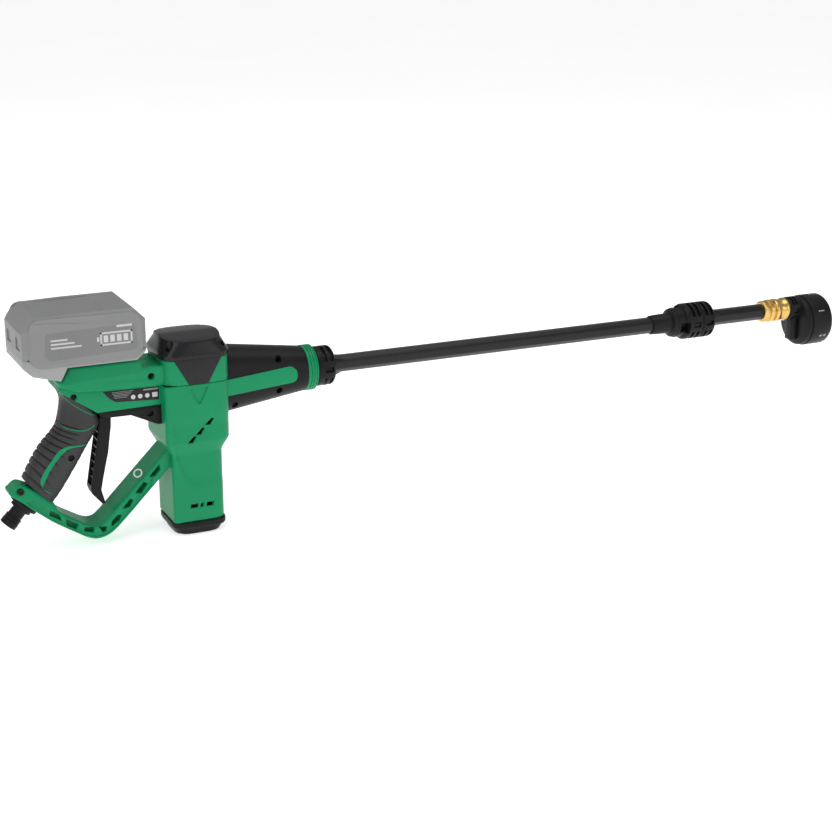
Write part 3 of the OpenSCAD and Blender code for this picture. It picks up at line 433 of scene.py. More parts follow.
print("a corner of a soft square lies %.2f of the way out" % soft(math.cos(math.pi / 4), 5))
# %% [markdown]
# ## The motor barrel
# The barrel is one tall moulding with a rounded-square section. It narrows at a sloped step, and a soft
# crease runs down its rear corner, crosses the step and fades away over the motor. A stack of rings,
# skinned and then given a wall, makes the form. The crease is a panel pressed in by a millimetre and a
# half, which the rings follow.

# %% The motor barrel
BASE_TOP = box_mm("base_cap")[1].z - 3
STEP = [(BASE_TOP, 25.2), (BASE_TOP + 1, 25.5), (at(-63.5), 25.6), (at(-61.5), 26.0), (at(-51), 31.3),
        (at(-49), BARREL), (at(5.2), BARREL), (at(5.9), BARREL - 0.6)]


def barrel_half(z):
    for (z0, a0), (z1, a1) in zip(STEP, STEP[1:]):
        if z <= z1:
            return a0 + (a1 - a0) * max(0.0, (z - z0) / (z1 - z0))
    return STEP[-1][1]


def crease_depth(x, z):
    """How far the side panel is pressed in, ahead of the crease."""
    crease = -26.4 + (at(-22) - z) * 0.1 if z > at(-59) else -22.7 + (at(-59) - z) * 0.354
    fade = smooth(at(-97), at(-84), z) * (1 - smooth(at(-34), at(-23), z))
    return 1.5 * fade * smooth(crease - 0.8, crease + 0.8, x)


def barrel_point(z):
    def place(turn):
        rear = smooth(0.0, 0.5, -math.cos(2 * math.pi * turn))
        p = rounded_square(barrel_half(z), 5 + 9 * rear, z, turn)
        side = smooth(0.45, 0.9, abs(p.y) / barrel_half(z))
        p.y -= math.copysign(crease_depth(p.x, z) * side, p.y)
        return p
    return place


barrel = Piece("motor_barrel_skin")
levels = {z for z, a in STEP} | {z for z in (BASE_TOP + 4 + 2.4 * i for i in range(54)) if z < at(4.5)}
barrel.skin([barrel.ring(224, barrel_point(z)) for z in sorted(levels)], closed=False)
cuts = Piece("barrel cuts")
for side in (-1, 1):
    y = sorted((side * (BARREL - 9), side * (BARREL + 9)))
    for x, z in ((-8.2, at(-47.5)), (-0.2, at(-40.4)), (8.8, at(-31.8))):
        cuts.slab([(x - 4.0, z - 2.2), (x + 1.2, z - 2.6), (x + 5.0, z + 3.4), (x + 2.6, z + 4.4)], *y)
    for x0, x1, x2, x3 in ((-10.2, -3.0, -2.0, -9.2), (-0.6, 2.2, 3.4, 0.2), (5.0, 12.4, 13.6, 6.2)):
        z = BASE_TOP + 13
        cuts.slab([(x0, z), (x1, z), (x2, z + 4.2), (x3, z + 4.2)], *y)
    notch = sorted((side * (BARREL - 1.3), side * (BARREL + 9)))
    cuts.slab([(-9, at(2.5)), (9, at(2.5)), (1.2, at(-12.8)), (-1.2, at(-12.8))], *notch, corner=0.8)
barrel.done("green_plastic", "gun", "motor_barrel", wall=2.4, cut=cuts, bevel=0.45, angle=40)

# %% [markdown]
# ## The caps
# The top cap is a shallow roof: its rim follows the barrel, wide chamfers cut its corners back, and a faint
# ridge runs along the middle. Below the rim a tongue hangs over each side of the barrel. The roof is
# skinned from a few level rings, and the last ones shrink towards the ridge.

# %% The top cap
RING_TOP = at(29.5)
cap = Piece("top_cap_skin")
cap_rings = [cap.square(*level) for level in (
    (RING_TOP + 0.2, BARREL + 0.1, 5), (RING_TOP + 1.0, BARREL + 1.0, 5), (RING_TOP + 4.5, BARREL + 1.0, 5),
    (RING_TOP + 6.5, BARREL + 0.4, 4.6), (at(44.6), BARREL - 3.2, 2.8, 30.6))]


def roof(share):
    def place(turn):
        p = rounded_square((BARREL - 3.8) * (0.96 if share < 1 else 1), 2.8, 0, turn, 29.8 * share)
        p.z = at(48.6) - 2.6 * abs(p.y) / 29.8
        return p
    return place


cap_rings += [cap.ring(96, roof(share)) for share in (1.0, 0.66, 0.33, 0.02)]
cap.skin(cap_rings)
seats = Piece("cap screw seats").corner_seats(24.4, RING_TOP + 14.5, 20, 32)
cap.done("gloss_black_plastic", "gun", "top_cap", cut=seats, bevel=0.5, angle=24, segments=3)

tongue = Piece("cap_tongues")
for side in (-1, 1):
    y = sorted((side * (BARREL - 1.0), side * (BARREL + 0.15)))
    tongue.slab([(-22.8, RING_TOP + 1), (-9.4, at(6.2)), (9.4, at(6.2)), (22.8, RING_TOP + 1)], *y)
tongue.done("gloss_black_plastic", "gun", bevel=0.3)

# %% [markdown]
# The base cap is a boot of black nylon with a swollen lip round the barrel's foot. It needs no wall,
# because nothing looks inside: one closed skin over eight rings does it, with a seat for each screw from
# below.

# %% The base cap
boot = Piece("base_cap_skin")
boot.skin([boot.square(*level) for level in (
    (0, 20.6, 4), (0.8, 22.0, 4), (4.4, 23.4, 4.5), (6.4, 24.2, 4.5), (7.4, 26.0, 5), (9.0, 26.75, 5),
    (12.4, 26.75, 5), (13.6, 26.2, 5))])
feet = Piece("base screw seats").corner_seats(16.5, 0, 6, 24)
boot.done("black_plastic", "gun", "base_cap", cut=feet, bevel=0.5, angle=24, segments=3)

# %% [markdown]
# ## The rear body
# Behind the barrel the two half shells carry the battery above and the grip below. Each half is two slabs:
# a proud upper one and a lower one set back by a few millimetres. Their rims are rounded as a mould's are,
# and the screw seats are drilled in from both sides.

# %% The rear body's half shells
TAIL = REAR - 99.5
RAIL = at(32.5)
UPPER = [(TAIL + 2, at(22.5)), (TAIL + 9, at(21)), (TAIL + 15.5, RAIL), (REAR - 19, RAIL),
         (REAR - 17, at(25.5)), (REAR + 8, at(25.5)), (REAR + 8, at(5.9)), (REAR - 55, at(7.3)),
         (REAR - 78, at(9)), (TAIL + 6.5, at(15))]
LOWER = [(TAIL + 7, at(15.6)), (REAR - 78, at(11)), (REAR - 55, at(9.3)), (REAR + 8, at(8)),
         (REAR + 8, at(-12.7)), (REAR - 59.7, at(-13.4)), (REAR - 94, at(10.7))]
SCREWS = [(REAR - 80.6, at(4.1), 14), (REAR - 9.8, at(16.2), 16), (REAR - 131.6, at(-80.1), 12)]


def screw_seats():
    seats = Piece("seats")
    for x, z, deep in SCREWS:
        seats.seat(x, z, deep, deep + 4)
    return seats


for side, hand in ((-1, "right"), (1, "left")):
    Piece("rear_body_" + hand).slab(UPPER, side * 0.08, side * 24, rim=2.6, inner=0.25).done(
        "green_plastic", "gun", "housing_" + hand, cut=screw_seats(), bevel=0.5, angle=40)
    Piece("rear_body_low_" + hand).slab(LOWER, side * 0.08, side * 20, rim=1.6, inner=0.25).done(
        "green_plastic", "gun", cut=screw_seats())

# %% [markdown]
# The shells meet in a ring round the barrel, just under the cap, which is a low skin of seven soft squares.
# The battery slides on a rail along the top. Its neck is narrow and its head wide, so that it holds the
# pack down.

# %% The ring round the barrel and the battery rail
collar = Piece("barrel_ring")
ring_levels = [(at(5.9), BARREL - 1.0), (at(6.5), BARREL - 0.2), (at(7.2), BARREL), (at(15), BARREL),
               (at(23), BARREL), (RING_TOP - 0.5, BARREL), (RING_TOP, BARREL - 0.4)]
collar.skin([collar.square(z, half, 5, count=128) for z, half in ring_levels], closed=False)
collar.done("green_plastic", "gun", wall=2.4)
for name, low, high, half in (("rail_neck", RAIL - 1, RAIL + 7, 17),
                              ("rail_head", RAIL + 6.1, RAIL + 9.5, 22)):
    outline = [(TAIL + 9, low), (REAR - 18, low), (REAR - 18, high), (TAIL + 9, high)]
    Piece(name).slab(outline, -half, half, rim=0.6, inner=0.6).done("green_plastic", "gun")

# %% [markdown]
# ## The hand guard
# A loop runs from the foot of the grip round the fingers to the barrel. It is lofted: at each station a
# ring goes from the inner line to the outer one, and the half width narrows towards the foot. A Boolean
# then cuts the sunken band along its outer side and the row of pockets that lighten the moulding.

# %% The hand guard's lines
INNER = [(-137.2, -77.4), (-130.5, -75.0), (-114.5, -84), (-101.9, -97), (-97.5, -104.4), (-84, -113.4),
         (-70, -121.2), (-61.4, -121.6), (-55, -117), (-47.6, -109.7), (-34, -96.1), (-12, -74.1),
         (10, -52.1)]
OUTER = [(-141.0, -80.2), (-139.8, -83.5), (-131, -89.8), (-123.4, -96.5), (-112, -106), (-101.3, -114.1),
         (-84.2, -125), (-72, -132), (-62, -133.8), (-50.5, -129.7), (-35.8, -116.5), (-14, -94.7),
         (10, -70.7)]
GUARD_HALF = [8.6, 11, 13, 14.4, 15, 15.6, 16, 16.4, 16.6, 16.8, 17, 17, 17]
BAND_DEPTH = 1.3


def guard_lines(share):
    """The inner line, the outer line and the half width, at a share of the loop."""
    return line(INNER, share), line(OUTER, share), curve([(h, 0, 0) for h in GUARD_HALF], share).x


def guard_ring(share):
    near, far, half = guard_lines(share)
    middle, reach = (near + far) / 2, (far - near) / 2

    def place(turn):
        a = 2 * math.pi * turn
        power = 11 if math.cos(a) > 0 else 6.5
        across = reach * (1.10 * soft(math.cos(a), power))
        return middle + across + Vector((0, half * soft(math.sin(a), power), 0))
    return place


def band_ring(side, share):
    """The four corners of the sunken band's cutter, at a share of the loop."""
    near, far, half = guard_lines(share)

    def place(turn):
        across = 0.50 if turn in (0.25, 0.5) else 0.90
        y = half - BAND_DEPTH if turn < 0.4 else half + 5
        return near.lerp(far, across) + Vector((0, side * y, 0))
    return place


print("guard loop %.1f mm wide at the middle" % (2 * guard_lines(0.5)[2]))

# %% The hand guard
guard = Piece("guard_loop")
guard.skin([guard.ring(64, guard_ring(i / 96)) for i in range(97)])
POCKETS = [[(-35.9, 71.7), (-34.6, 66.0), (-40.5, 60.3), (-46.3, 60.6)],
           [(-51.6, 56.8), (-46.6, 54.4), (-53.4, 45.0), (-60.0, 47.1)],
           [(-64.9, 42.4), (-61.2, 40.0), (-65.0, 33.4), (-72.6, 33.6)],
           [(-77.2, 28.6), (-72.8, 27.4), (-75.0, 22.0), (-83.0, 17.2), (-83.2, 22.6)],
           [(-95.6, 19.6), (-87.2, 18.6), (-88.2, 13.6), (-91.0, 12.3)],
           [(-108.5, 21.0), (-99.2, 19.4), (-99.6, 13.6), (-108.7, 16.4)],
           [(-125.1, 31.5), (-113.4, 24.4), (-115.6, 19.0), (-124.3, 24.6)],
           [(-138.9, 41.6), (-130.8, 36.4), (-128.4, 29.4), (-139.5, 36.2)]]
cuts = Piece("guard cuts")
for side in (-1, 1):
    cuts.skin([cuts.ring(4, band_ring(side, i / 80)) for i in range(15, 75)])
    for pocket in POCKETS:
        cuts.slab(pocket, side * 8, side * 30, corner=0.7)
cuts.seat(*SCREWS[2][:2], 9, 12)
guard.done("green_plastic", "gun", cut=cuts, bevel=0.45, angle=45)

# %% [markdown]
# A small printed ring goes with the loop. It is a thin disc with its middle drilled out. Its centre lies on
# the gun's right side, above the loop's inner edge, so it stands clear of the moulding.

# %% The guard's printed ring
turns = [math.radians(7.5 * k) for k in range(48)]
badge = Piece("guard_badge")
badge.slab([(-56.5 + 4.2 * math.cos(a), 66 + 4.2 * math.sin(a)) for a in turns], -17.3, -16.6)
badge.done("green_plastic", "gun", cut=Piece("badge middle").drill(-56.5, 66, 3.1, -30, -10), look="print")

# %% [markdown]
# ## The trigger
# The trigger is a thin-walled lever. Its front is a rounded blade for two fingers, and its back is open,
# with rungs across the channel that stop it from folding. The slab gives the lever, one cutter opens the
# channel, and the rungs are laid in afterwards.

# %% The trigger
BLADE = [(-76.4, 121.4), (-76.8, 111), (-78.2, 102.4), (-80.4, 87), (-82.2, 79.8), (-86.2, 62.9),
         (-88.6, 51.4), (-85.4, 38.4), (-88.2, 37.6), (-96.6, 47.6), (-98.4, 53), (-94.4, 75.4),
         (-90.0, 99.7), (-87.4, 121.4)]
lever = Piece("trigger_lever").slab(BLADE, -8.6, 8.6, rim=1.3, inner=1.3, segments=3)
hollow = Piece("trigger channel").slab([(-80.0, 112), (-80.8, 102.4), (-83.2, 86), (-88.8, 62.9), (-91.2, 54),
                                        (-105, 58), (-100, 112)], -6.6, 6.6)
lever.done("black_plastic", "trigger", "trigger", cut=hollow, bevel=0.4, angle=40)
rungs = Piece("trigger_rungs")
for i in range(7):
    z = 62 + 7.2 * i
    x = -87.2 + 0.155 * (z - 62)
    rungs.slab([(x - 8.0, z), (x + 0.5, z - 0.6), (x + 0.5, z + 0.9), (x - 8.0, z + 1.5)], -6.8, 6.8)
rungs.slab([(-77.6, 120), (-77.6, 127), (-86.4, 127), (-86.4, 120)], -7.2, 7.2)
rungs.done("black_plastic", "trigger")

# %% [markdown]
# ## The grip
# Soft rubber is moulded over a hard core. Seen from the side the grip has a waist under the web of the
# hand, a row of ribs down its back and a smooth front. It is lofted from its rear line to its front line. A
# groove function, strong at the back and faint at the front, presses each ring in as it is placed.

# %% The grip
GRIP_REAR = [(-94, 10.7), (-90.2, 4.4), (-89.0, -4.2), (-93.0, -23.1), (-98.8, -31.9), (-108.9, -42.4),
             (-118.2, -55.9), (-126.7, -71.4)]
GRIP_FRONT = [(-59.7, -13.4), (-56.5, -19), (-54.8, -26.7), (-59.3, -35.1), (-68, -47.9), (-76.8, -62.3),
              (-92.5, -85.7), (-101.9, -96.8)]
GRIP_HALF = 16
GRIP_POWER = 2.6


def grip_lines(share):
    return line(GRIP_REAR, share), line(GRIP_FRONT, share)


def waist(share):
    """How much narrower the grip is under the web of the hand."""
    return 1 - 0.10 * math.exp(-((share - 0.28) / 0.13) ** 2)


def groove(share):
    """Nine narrow valleys between rounded ribs, down the lower half of the grip."""
    beat = (share - 0.41) * 17
    if not 0 < beat < 9.4:
        return 0.0
    off = abs(beat - round(beat)) * 2
    return max(0.0, 1 - off / 0.30) + 0.15 * (1 - off) ** 2


def grip_ring(share):
    rear, front = grip_lines(share)
    middle, reach = (rear + front) / 2, (front - rear) / 2

    def place(turn):
        a = 2 * math.pi * turn
        u = soft(math.cos(a), GRIP_POWER)
        v = soft(math.sin(a), GRIP_POWER)
        deep = groove(share) * (1.25 * (1 - smooth(-0.1, 0.2, u)) + 0.3 * smooth(0.45, 0.7, u))
        side = Vector((0, (GRIP_HALF * waist(share) - deep) * v, 0))
        return middle + reach * u * (1 - deep / reach.length) + side
    return place


grip = Piece("grip_rubber_skin")
grip.skin([grip.ring(72, grip_ring(i / 240)) for i in range(241)])
seats = Piece("grip screw seat").seat(REAR - 84.7, at(-53.6), 9, 13)
grip.done("soft_grip", "gun", "grip_rubber_right", "grip_rubber_left", cut=seats, sharp=50)

# %% [markdown]
# Thin green lines and one broad green sweep are inlays of the hard core showing through the rubber. Each is
# a narrow sheet laid on the grip's side and thickened inwards. To lay it, the share of the loft that passes
# through a point is found by halving, and the superellipse then gives how far out the rubber is there.

# %% Where the grip's side lies
def grip_side(x, z, side, lift):
    """The point on the grip's side at a place in X and Z, lifted off the rubber."""
    low, high = 0.0, 1.0
    for _ in range(24):
        share = (low + high) / 2
        rear, front = grip_lines(share)
        span = front - rear
        if span.x * (z - rear.z) - span.z * (x - rear.x) > 0:
            high = share
        else:
            low = share
    along = ((x - rear.x) * span.x + (z - rear.z) * span.z) / span.length_squared
    u = min(0.999, abs(2 * along - 1))
    y = GRIP_HALF * waist(share) * (1 - u ** GRIP_POWER) ** (1 / GRIP_POWER)
    return Vector((x, side * (y + lift), z))


print("the grip's side is %.1f mm out under its screw" % grip_side(REAR - 84.7, at(-53.6), 1, 0).y)

# %% Inlays in the grip
SWEEP_OUT = [(-99, 98.6), (-106, 99.2), (-113, 99.8), (-120.5, 99.7), (-128.3, 96.1), (-135.7, 87.1),
             (-141.1, 80.2), (-145.2, 73.0), (-146.0, 69.0)]
SWEEP_IN = [(-99, 97.6), (-106, 98.0), (-113, 98.2), (-119.5, 97.0), (-126.4, 91.8), (-134.6, 82.3),
            (-140.4, 72.9), (-144.0, 66.0), (-144.9, 64.8)]
LINES = [[(-123.5, 150.5), (-119.5, 144.6), (-111.6, 137.2), (-101.7, 130.0), (-91.8, 124.3)],
         [(-124.2, 120.5), (-121.5, 117.6), (-114.4, 114.7), (-104.6, 112.6), (-97.6, 113.6), (-93.2, 115.6)],
         [(-144.9, 64.8), (-142.5, 61.6), (-139.5, 59.2), (-137.0, 57.4)]]


def inlay(name, outer, inner, lift):
    first = [(x, 0, z) for x, z in outer]
    second = [(x, 0, z) for x, z in inner]
    for side, hand in ((-1, "right"), (1, "left")):
        def place(s, w):
            p = curve(first, s).lerp(curve(second, s), w)
            return grip_side(p.x, p.z, side, lift)
        strip = Piece("%s_%s" % (name, hand)).sheet(6, 60, place)
        bmesh.ops.recalc_face_normals(strip.bm, faces=strip.bm.faces)
        if sum(f.normal.y for f in strip.bm.faces) * side < 0:
            bmesh.ops.reverse_faces(strip.bm, faces=strip.bm.faces[:])
        strip.done("green_plastic", "gun", wall=1.2)


inlay("grip_sweep", SWEEP_OUT, SWEEP_IN, 0.25)
for i, thin in enumerate(LINES):
    inlay("grip_line_%d" % (i + 1), [(x - 0.1, z + 0.45) for x, z in thin],
          [(x + 0.1, z - 0.45) for x, z in thin], 0.12)

# %% [markdown]
# ## The foregrip
# Ahead of the barrel two black half shells taper to a ribbed green ring. A green strip is let into each
# side. The strip is cut out of a slightly larger copy of the same loft, so it follows the curve and stands
# proud of it by half a millimetre, with a rounded edge that catches the light.

# %% The foregrip
ring_low, ring_high = box_mm("front_ring")
FORE_END = ring_low.x - 4
FORE_R = ring_high.z - AXIS_Z


def fore_form(name, grow):
    form = Piece(name)
    rings = []
    for i in range(41):
        share = i / 40
        x = BARREL - 7 + (FORE_END - BARREL + 6.8) * share
        up = (BARREL + 0.7 + (FORE_R - 0.7 - BARREL - 0.7) * share) + grow
        out = (BARREL - 6.1 + (FORE_R - 0.6 - BARREL + 6.1) * share) + grow
        power = 2.5 - 0.4 * share

        def place(turn):
            p = rounded_square(up, power, x, turn, out)
            return Vector((p.z, p.y, AXIS_Z + p.x))
        rings.append(form.ring(96, place))
    return form.skin(rings)


fore = fore_form("foregrip_skin", 0)
seats = Piece("foregrip seats")
for x, z in ((ring_low.x - 33.5, at(16.4)), (ring_low.x - 33.5, at(-13.4)), (BARREL + 6, at(-21.9))):
    seats.seat(x, z, 10, 13)
fore.done("black_plastic", "gun", "foregrip_right", "foregrip_left", cut=seats, bevel=0.4, angle=45)
STRIP = [(BARREL - 6, at(4.4)), (94, at(9.2)), (99.3, at(5.1)), (100, at(-3.0)), (96.8, at(-6.6)),
         (BARREL - 6, at(-11.2))]
strips = Piece("foregrip_strips")
strips.slab(STRIP, -36, -12, corner=2.4).slab(STRIP, 12, 36, corner=2.4)
strips.done("green_plastic", "gun", "foregrip_inlays", keep=fore_form("limit", 0.55), bevel=0.4, angle=40,
            segments=3)

# %% [markdown]
# The green ring that ends the foregrip has three fine grooves for the fingers. It is a turned part, so its
# profile is drawn once and spun.

# %% The ribbed front ring
LANCE_X0 = ring_high.x - 3.7
ribs = [(FORE_END + 0.1, 14), (FORE_END + 0.1, FORE_R - 0.7), (FORE_END + 0.6, FORE_R - 0.1)]
for i in range(1, 4):
    x = FORE_END + 2.7 * i
    ribs += [(x - 0.1, FORE_R - 0.1), (x + 0.15, FORE_R - 0.75),
             (x + 0.55, FORE_R - 0.75), (x + 0.8, FORE_R - 0.1)]
ribs += [(LANCE_X0 - 1.5, FORE_R - 0.3), (LANCE_X0 - 0.4, FORE_R - 1.6), (LANCE_X0 - 0.3, FORE_R - 2.2),
         (LANCE_X0 - 0.3, 14)]
Piece("front_ring_skin").turned(ribs).done("green_plastic", "gun", "front_ring")

# %% [markdown]
# ## The lance
# Both tubes are moulded rods with eight faint flats, which draw long thin highlights. Each is a skin over
# six rings, and three small gussets brace it where it leaves its collar.

# %% Tubes
socket_low, socket_high = box_mm("lance_socket")
coupler_x0 = box_mm("coupler_body")[0].x
COLLAR_LEN = 15.2
EXT_X0 = socket_high.x + 0.3
COLLAR_R = (socket_high.z - socket_low.z) / 2
TUBE_R = 8.2


def eight_flats(x, r):
    def place(turn):
        a = 2 * math.pi * turn
        flat = (a + math.pi / 8) % (math.pi / 4) - math.pi / 8
        reach = r * (0.25 + 0.75 * math.cos(math.pi / 8) / math.cos(flat)) * 1.02
        return Vector((x, reach * math.cos(a), AXIS_Z + reach * math.sin(a)))
    return place


for name, x0, x1, body in (("lance_rod", LANCE_X0 + 18.9 - 1, socket_low.x + 6, "lance"),
                           ("extension_rod", EXT_X0 + COLLAR_LEN - 1, coupler_x0 + 1, "extension")):
    rod = Piece(name)
    steps = [(x0, TUBE_R + 1.6), (x0 + 2.5, TUBE_R + 1.3), (x0 + 9, TUBE_R + 0.3), (x0 + 13, TUBE_R),
             (x1 - 4, TUBE_R), (x1, TUBE_R)]
    rod.skin([rod.ring(96, eight_flats(x, r)) for x, r in steps])
    rod.done("gloss_black_plastic", body)
    web = Piece(name + "_gussets")
    corners = [(x0, AXIS_Z + 5), (x0, AXIS_Z + 13.4), (x0 + 13, AXIS_Z + TUBE_R - 0.4), (x0 + 13, AXIS_Z + 5)]
    for turn in (60, 180, 300):
        before = set(web.bm.verts)
        web.slab(corners, -1.7, 1.7)
        bmesh.ops.rotate(web.bm, cent=(0, 0, AXIS_Z), matrix=Matrix.Rotation(math.radians(turn), 3, "X"),
                         verts=[v for v in web.bm.verts if v not in before])
    web.done("gloss_black_plastic", body, bevel=0.4)

# %% [markdown]
# The bayonet collars are turned profiles. A finger grips them by slots: pairs that run round the collar,
# and single ones that run along it. Each slot's cutter is a block bent round the axis by a partial spin.

# %% Bayonet collars
def slots(x, r, pairs, singles):
    """Cutters for the finger slots of a collar of radius r, which start at x."""
    piece = Piece("slots")
    for turn in pairs:
        for start in (x, x + 6.2):
            piece.sector(start, start + 3.3, r - 2.6, r + 4, turn, 68)
    for turn in singles:
        piece.sector(x + 0.4, x + 9.2, r - 2.8, r + 4, turn, 15)
    return piece


for name, x0, length, r, body, node in (("lance_collar", LANCE_X0, 18.9, COLLAR_R, "lance", "lance_tube"),
                                        ("extension_collar", EXT_X0, COLLAR_LEN, COLLAR_R - 0.4, "extension",
                                         "extension_tube")):
    profile = [(x0, 10), (x0, r - 1.0), (x0 + 0.6, r - 0.3), (x0 + 1.4, r), (x0 + length - 3.6, r),
               (x0 + length - 1.8, r - 0.6), (x0 + length - 0.6, r - 2.0), (x0 + length, r - 4.2),
               (x0 + length, 7)]
    cuts = slots(x0 + length - 12.6, r, (30, 150, 270), (90, 210, 330))
    Piece(name).turned(profile).done("black_plastic", body, node, cut=cuts, bevel=0.35, angle=40)

# %% [markdown]
# The socket at the lance's end holds the extension's bayonet. Its profile steps up from a sleeve to a
# flange and a gripped barrel, with windows behind the flange and a key mark beside each slot.

# %% The lance's socket
SOCKET = socket_low.x
FLANGE = SOCKET + 23
MAIN = SOCKET + 38
r = COLLAR_R - 0.4
profile = [(SOCKET, TUBE_R - 0.2), (SOCKET, TUBE_R + 1.0), (SOCKET + 1, TUBE_R + 1.6),
           (SOCKET + 4, TUBE_R + 1.6),
           (SOCKET + 5, TUBE_R + 1.9), (FLANGE - 0.6, TUBE_R + 2.3), (FLANGE, 13.4), (FLANGE + 1.2, 14.6),
           (FLANGE + 4, 14.8), (FLANGE + 4.4, 15.4), (MAIN - 2.6, 15.6), (MAIN - 2.0, r - 1.4),
           (MAIN - 0.6, r - 0.3),
           (MAIN + 0.6, r), (socket_high.x - 0.8, r), (socket_high.x, r - 0.8), (socket_high.x, 10)]
END = socket_high.x
cuts = slots(END - 12.6, r, (30, 150, 270), ())
for turn in (90, 210, 330):
    cuts.sector(END - 5.6, END - 3.6, r - 1.6, r + 4, turn + 2, 17)
    cuts.sector(END - 11.6, END - 3.8, r - 1.6, r + 4, turn + 8, 5)
    cuts.sector(END - 11.6, END - 6.4, r - 1.0, r + 4, turn - 5, 3)
    cuts.sector(FLANGE + 6, MAIN + 1, 9.6, r + 4, turn + 12, 40)
socket = Piece("lance_socket_skin").turned(profile)
socket.done("black_plastic", "lance", "lance_socket", cut=cuts, bevel=0.35, angle=40)

# %% [markdown]
# ## The brass coupler
# The hose-style coupler is turned from brass bar: a knurled nut, a ring that holds the locking balls, and a
# sliding collar with a waist for the fingers. The knurl is a ring whose radius rises and falls as it is
# placed.

# %% The brass coupler
collar_low, collar_high = box_mm("coupler_collar")
BRASS_R = collar_high.z - AXIS_Z
nut_x0, nut_x1 = coupler_x0, collar_low.x - 3


def knurled(x, r, depth):
    def place(turn):
        a = 2 * math.pi * turn
        reach = r - depth * (0.5 + 0.5 * math.cos(40 * a))
        return Vector((x, reach * math.cos(a), AXIS_Z + reach * math.sin(a)))
    return place


nut = Piece("coupler_nut")
levels = [(nut_x0, 8.4, 0), (nut_x0, 9.8, 0), (nut_x0 + 0.5, 10.8, 0.1), (nut_x0 + 0.9, 11.1, 0.22),
          (nut_x0 + 6.4, 11.1, 0.22), (nut_x0 + 6.8, 10.8, 0.1), (nut_x0 + 7.2, 10.1, 0),
          (nut_x0 + 7.8, 10.0, 0),
          (nut_x0 + 8.3, 11.4, 0), (nut_x0 + 8.8, 11.9, 0), (nut_x1 - 0.8, 11.9, 0), (nut_x1 - 0.2, 11.4, 0),
          (nut_x1, 10.6, 0), (nut_x1, 9.4, 0), (collar_high.x - 1, 9.2, 0)]
nut.skin([nut.ring(240, knurled(x, r, d)) for x, r, d in levels])
nut.done("brass", "extension", "coupler_body")
x0, x1, r = collar_low.x, collar_high.x, BRASS_R
profile = [(x0, 9.1), (x0, r - 1.0), (x0 + 0.5, r - 0.4), (x0 + 1.4, r - 0.2), (x0 + 3.6, r - 0.2),
           (x0 + 4.6, r - 0.9), (x0 + 6, r - 1.2), (x1 - 6, r - 1.1), (x1 - 4.2, r - 0.3), (x1 - 3, r),
           (x1 - 1, r), (x1 - 0.3, r - 0.5), (x1, r - 1.2), (x1, 9.1)]
Piece("coupler_collar_skin").turned(profile).done("brass", "coupler_collar", "coupler_collar")

# %% [markdown]
# ## The turret nozzle
# A hub plugs into the coupler. Below it hangs a thumb lug, and ahead of it a disc carries the turret: a
# drum that turns to bring one of six jets in line with the lance. Hub, disc and drum are turned, and the
# jets drilled.

# %% The nozzle's hub, lug and disc
drum_low, drum_high = box_mm("nozzle_drum")
DRUM_Z = (drum_low.z + drum_high.z) / 2
DRUM_R = (drum_high.z - drum_low.z) / 2
HUB = box_mm("nozzle_body")[0].x
DISC = HUB + 13.5
profile = [(HUB, 6), (HUB, 11.4), (HUB + 0.8, 12.2), (HUB + 1.6, 12.5), (DISC + 1, 12.5), (DISC + 1, 6)]
cuts = Piece("slots")
for turn in (30, 150, 270):
    for x in (HUB + 2.6, HUB + 6.6):
        cuts.sector(x, x + 2.4, 10.6, 16, turn, 60)
for turn in (90, 210, 330):
    cuts.sector(HUB + 4.0, HUB + 10, 11.3, 16, turn + 10, 9)
    cuts.sector(HUB + 7.6, HUB + 10, 11.3, 16, turn, 28)
Piece("nozzle_hub").turned(profile).done("black_plastic", "nozzle", cut=cuts, bevel=0.3, angle=40)
profile = [(DISC - 0.5, 3), (DISC - 0.5, DRUM_R - 3.4), (DISC + 0.6, DRUM_R - 1.8),
           (DISC + 1.8, DRUM_R - 1.1), (DISC + 5.4, DRUM_R - 1.0), (DISC + 5.9, DRUM_R - 1.6),
           (DISC + 5.9, 3)]
Piece("nozzle_disc").turned(profile, DRUM_Z).done("black_plastic", "nozzle", "nozzle_body")
LUG_TOP, LUG_FOOT = AXIS_Z - 4, DRUM_Z - DRUM_R + 7
lug = [(HUB + 6.2, LUG_TOP), (HUB + 6.2, LUG_FOOT), (DISC + 1, LUG_FOOT), (DISC + 1, LUG_TOP)]
thumb = Piece("nozzle_lug").slab(lug, -7.5, 7.5, rim=3.4, inner=3.4, segments=4)
thumb.done("black_plastic", "nozzle", bevel=0.8, angle=25, segments=3)

# %% The turret's drum
x0, x1, r = drum_low.x, drum_high.x, DRUM_R
profile = [(x0, 3.3), (x0, r - 1.0), (x0 + 0.6, r - 0.2), (x0 + 1.4, r), (x1 - 4.6, r), (x1 - 3.0, r - 0.5),
           (x1 - 1.4, r - 1.7), (x1 - 0.3, r - 3.6), (x1, r - 5.2), (x1, 6.0), (x1 - 0.6, 5.0),
           (x1 - 0.6, 3.3)]
cuts = Piece("jet holes")
for k in range(6):
    around = Matrix.Rotation(math.radians(60 * k), 4, "X")
    place = Matrix.Translation((x1, 0, DRUM_Z)) @ around @ Matrix.Translation((0, 0, AXIS_Z - DRUM_Z))
    cuts.rod(3.05, 50, place @ Matrix.Rotation(math.pi / 2, 4, "Y"))
drum = Piece("turret_drum").turned(profile, DRUM_Z)
drum.done("black_plastic", "turret", "nozzle_drum", cut=cuts, bevel=0.3, angle=40)

# %% [markdown]
# ## Printed marks
# The drum, the rating plate and the battery carry white print. The real print names a maker and a model, so
# this model has plain symbols instead: bars, rings, fans and a charge gauge. On the drum each mark is a
# sheet bent round the rim and laid just proud of it.

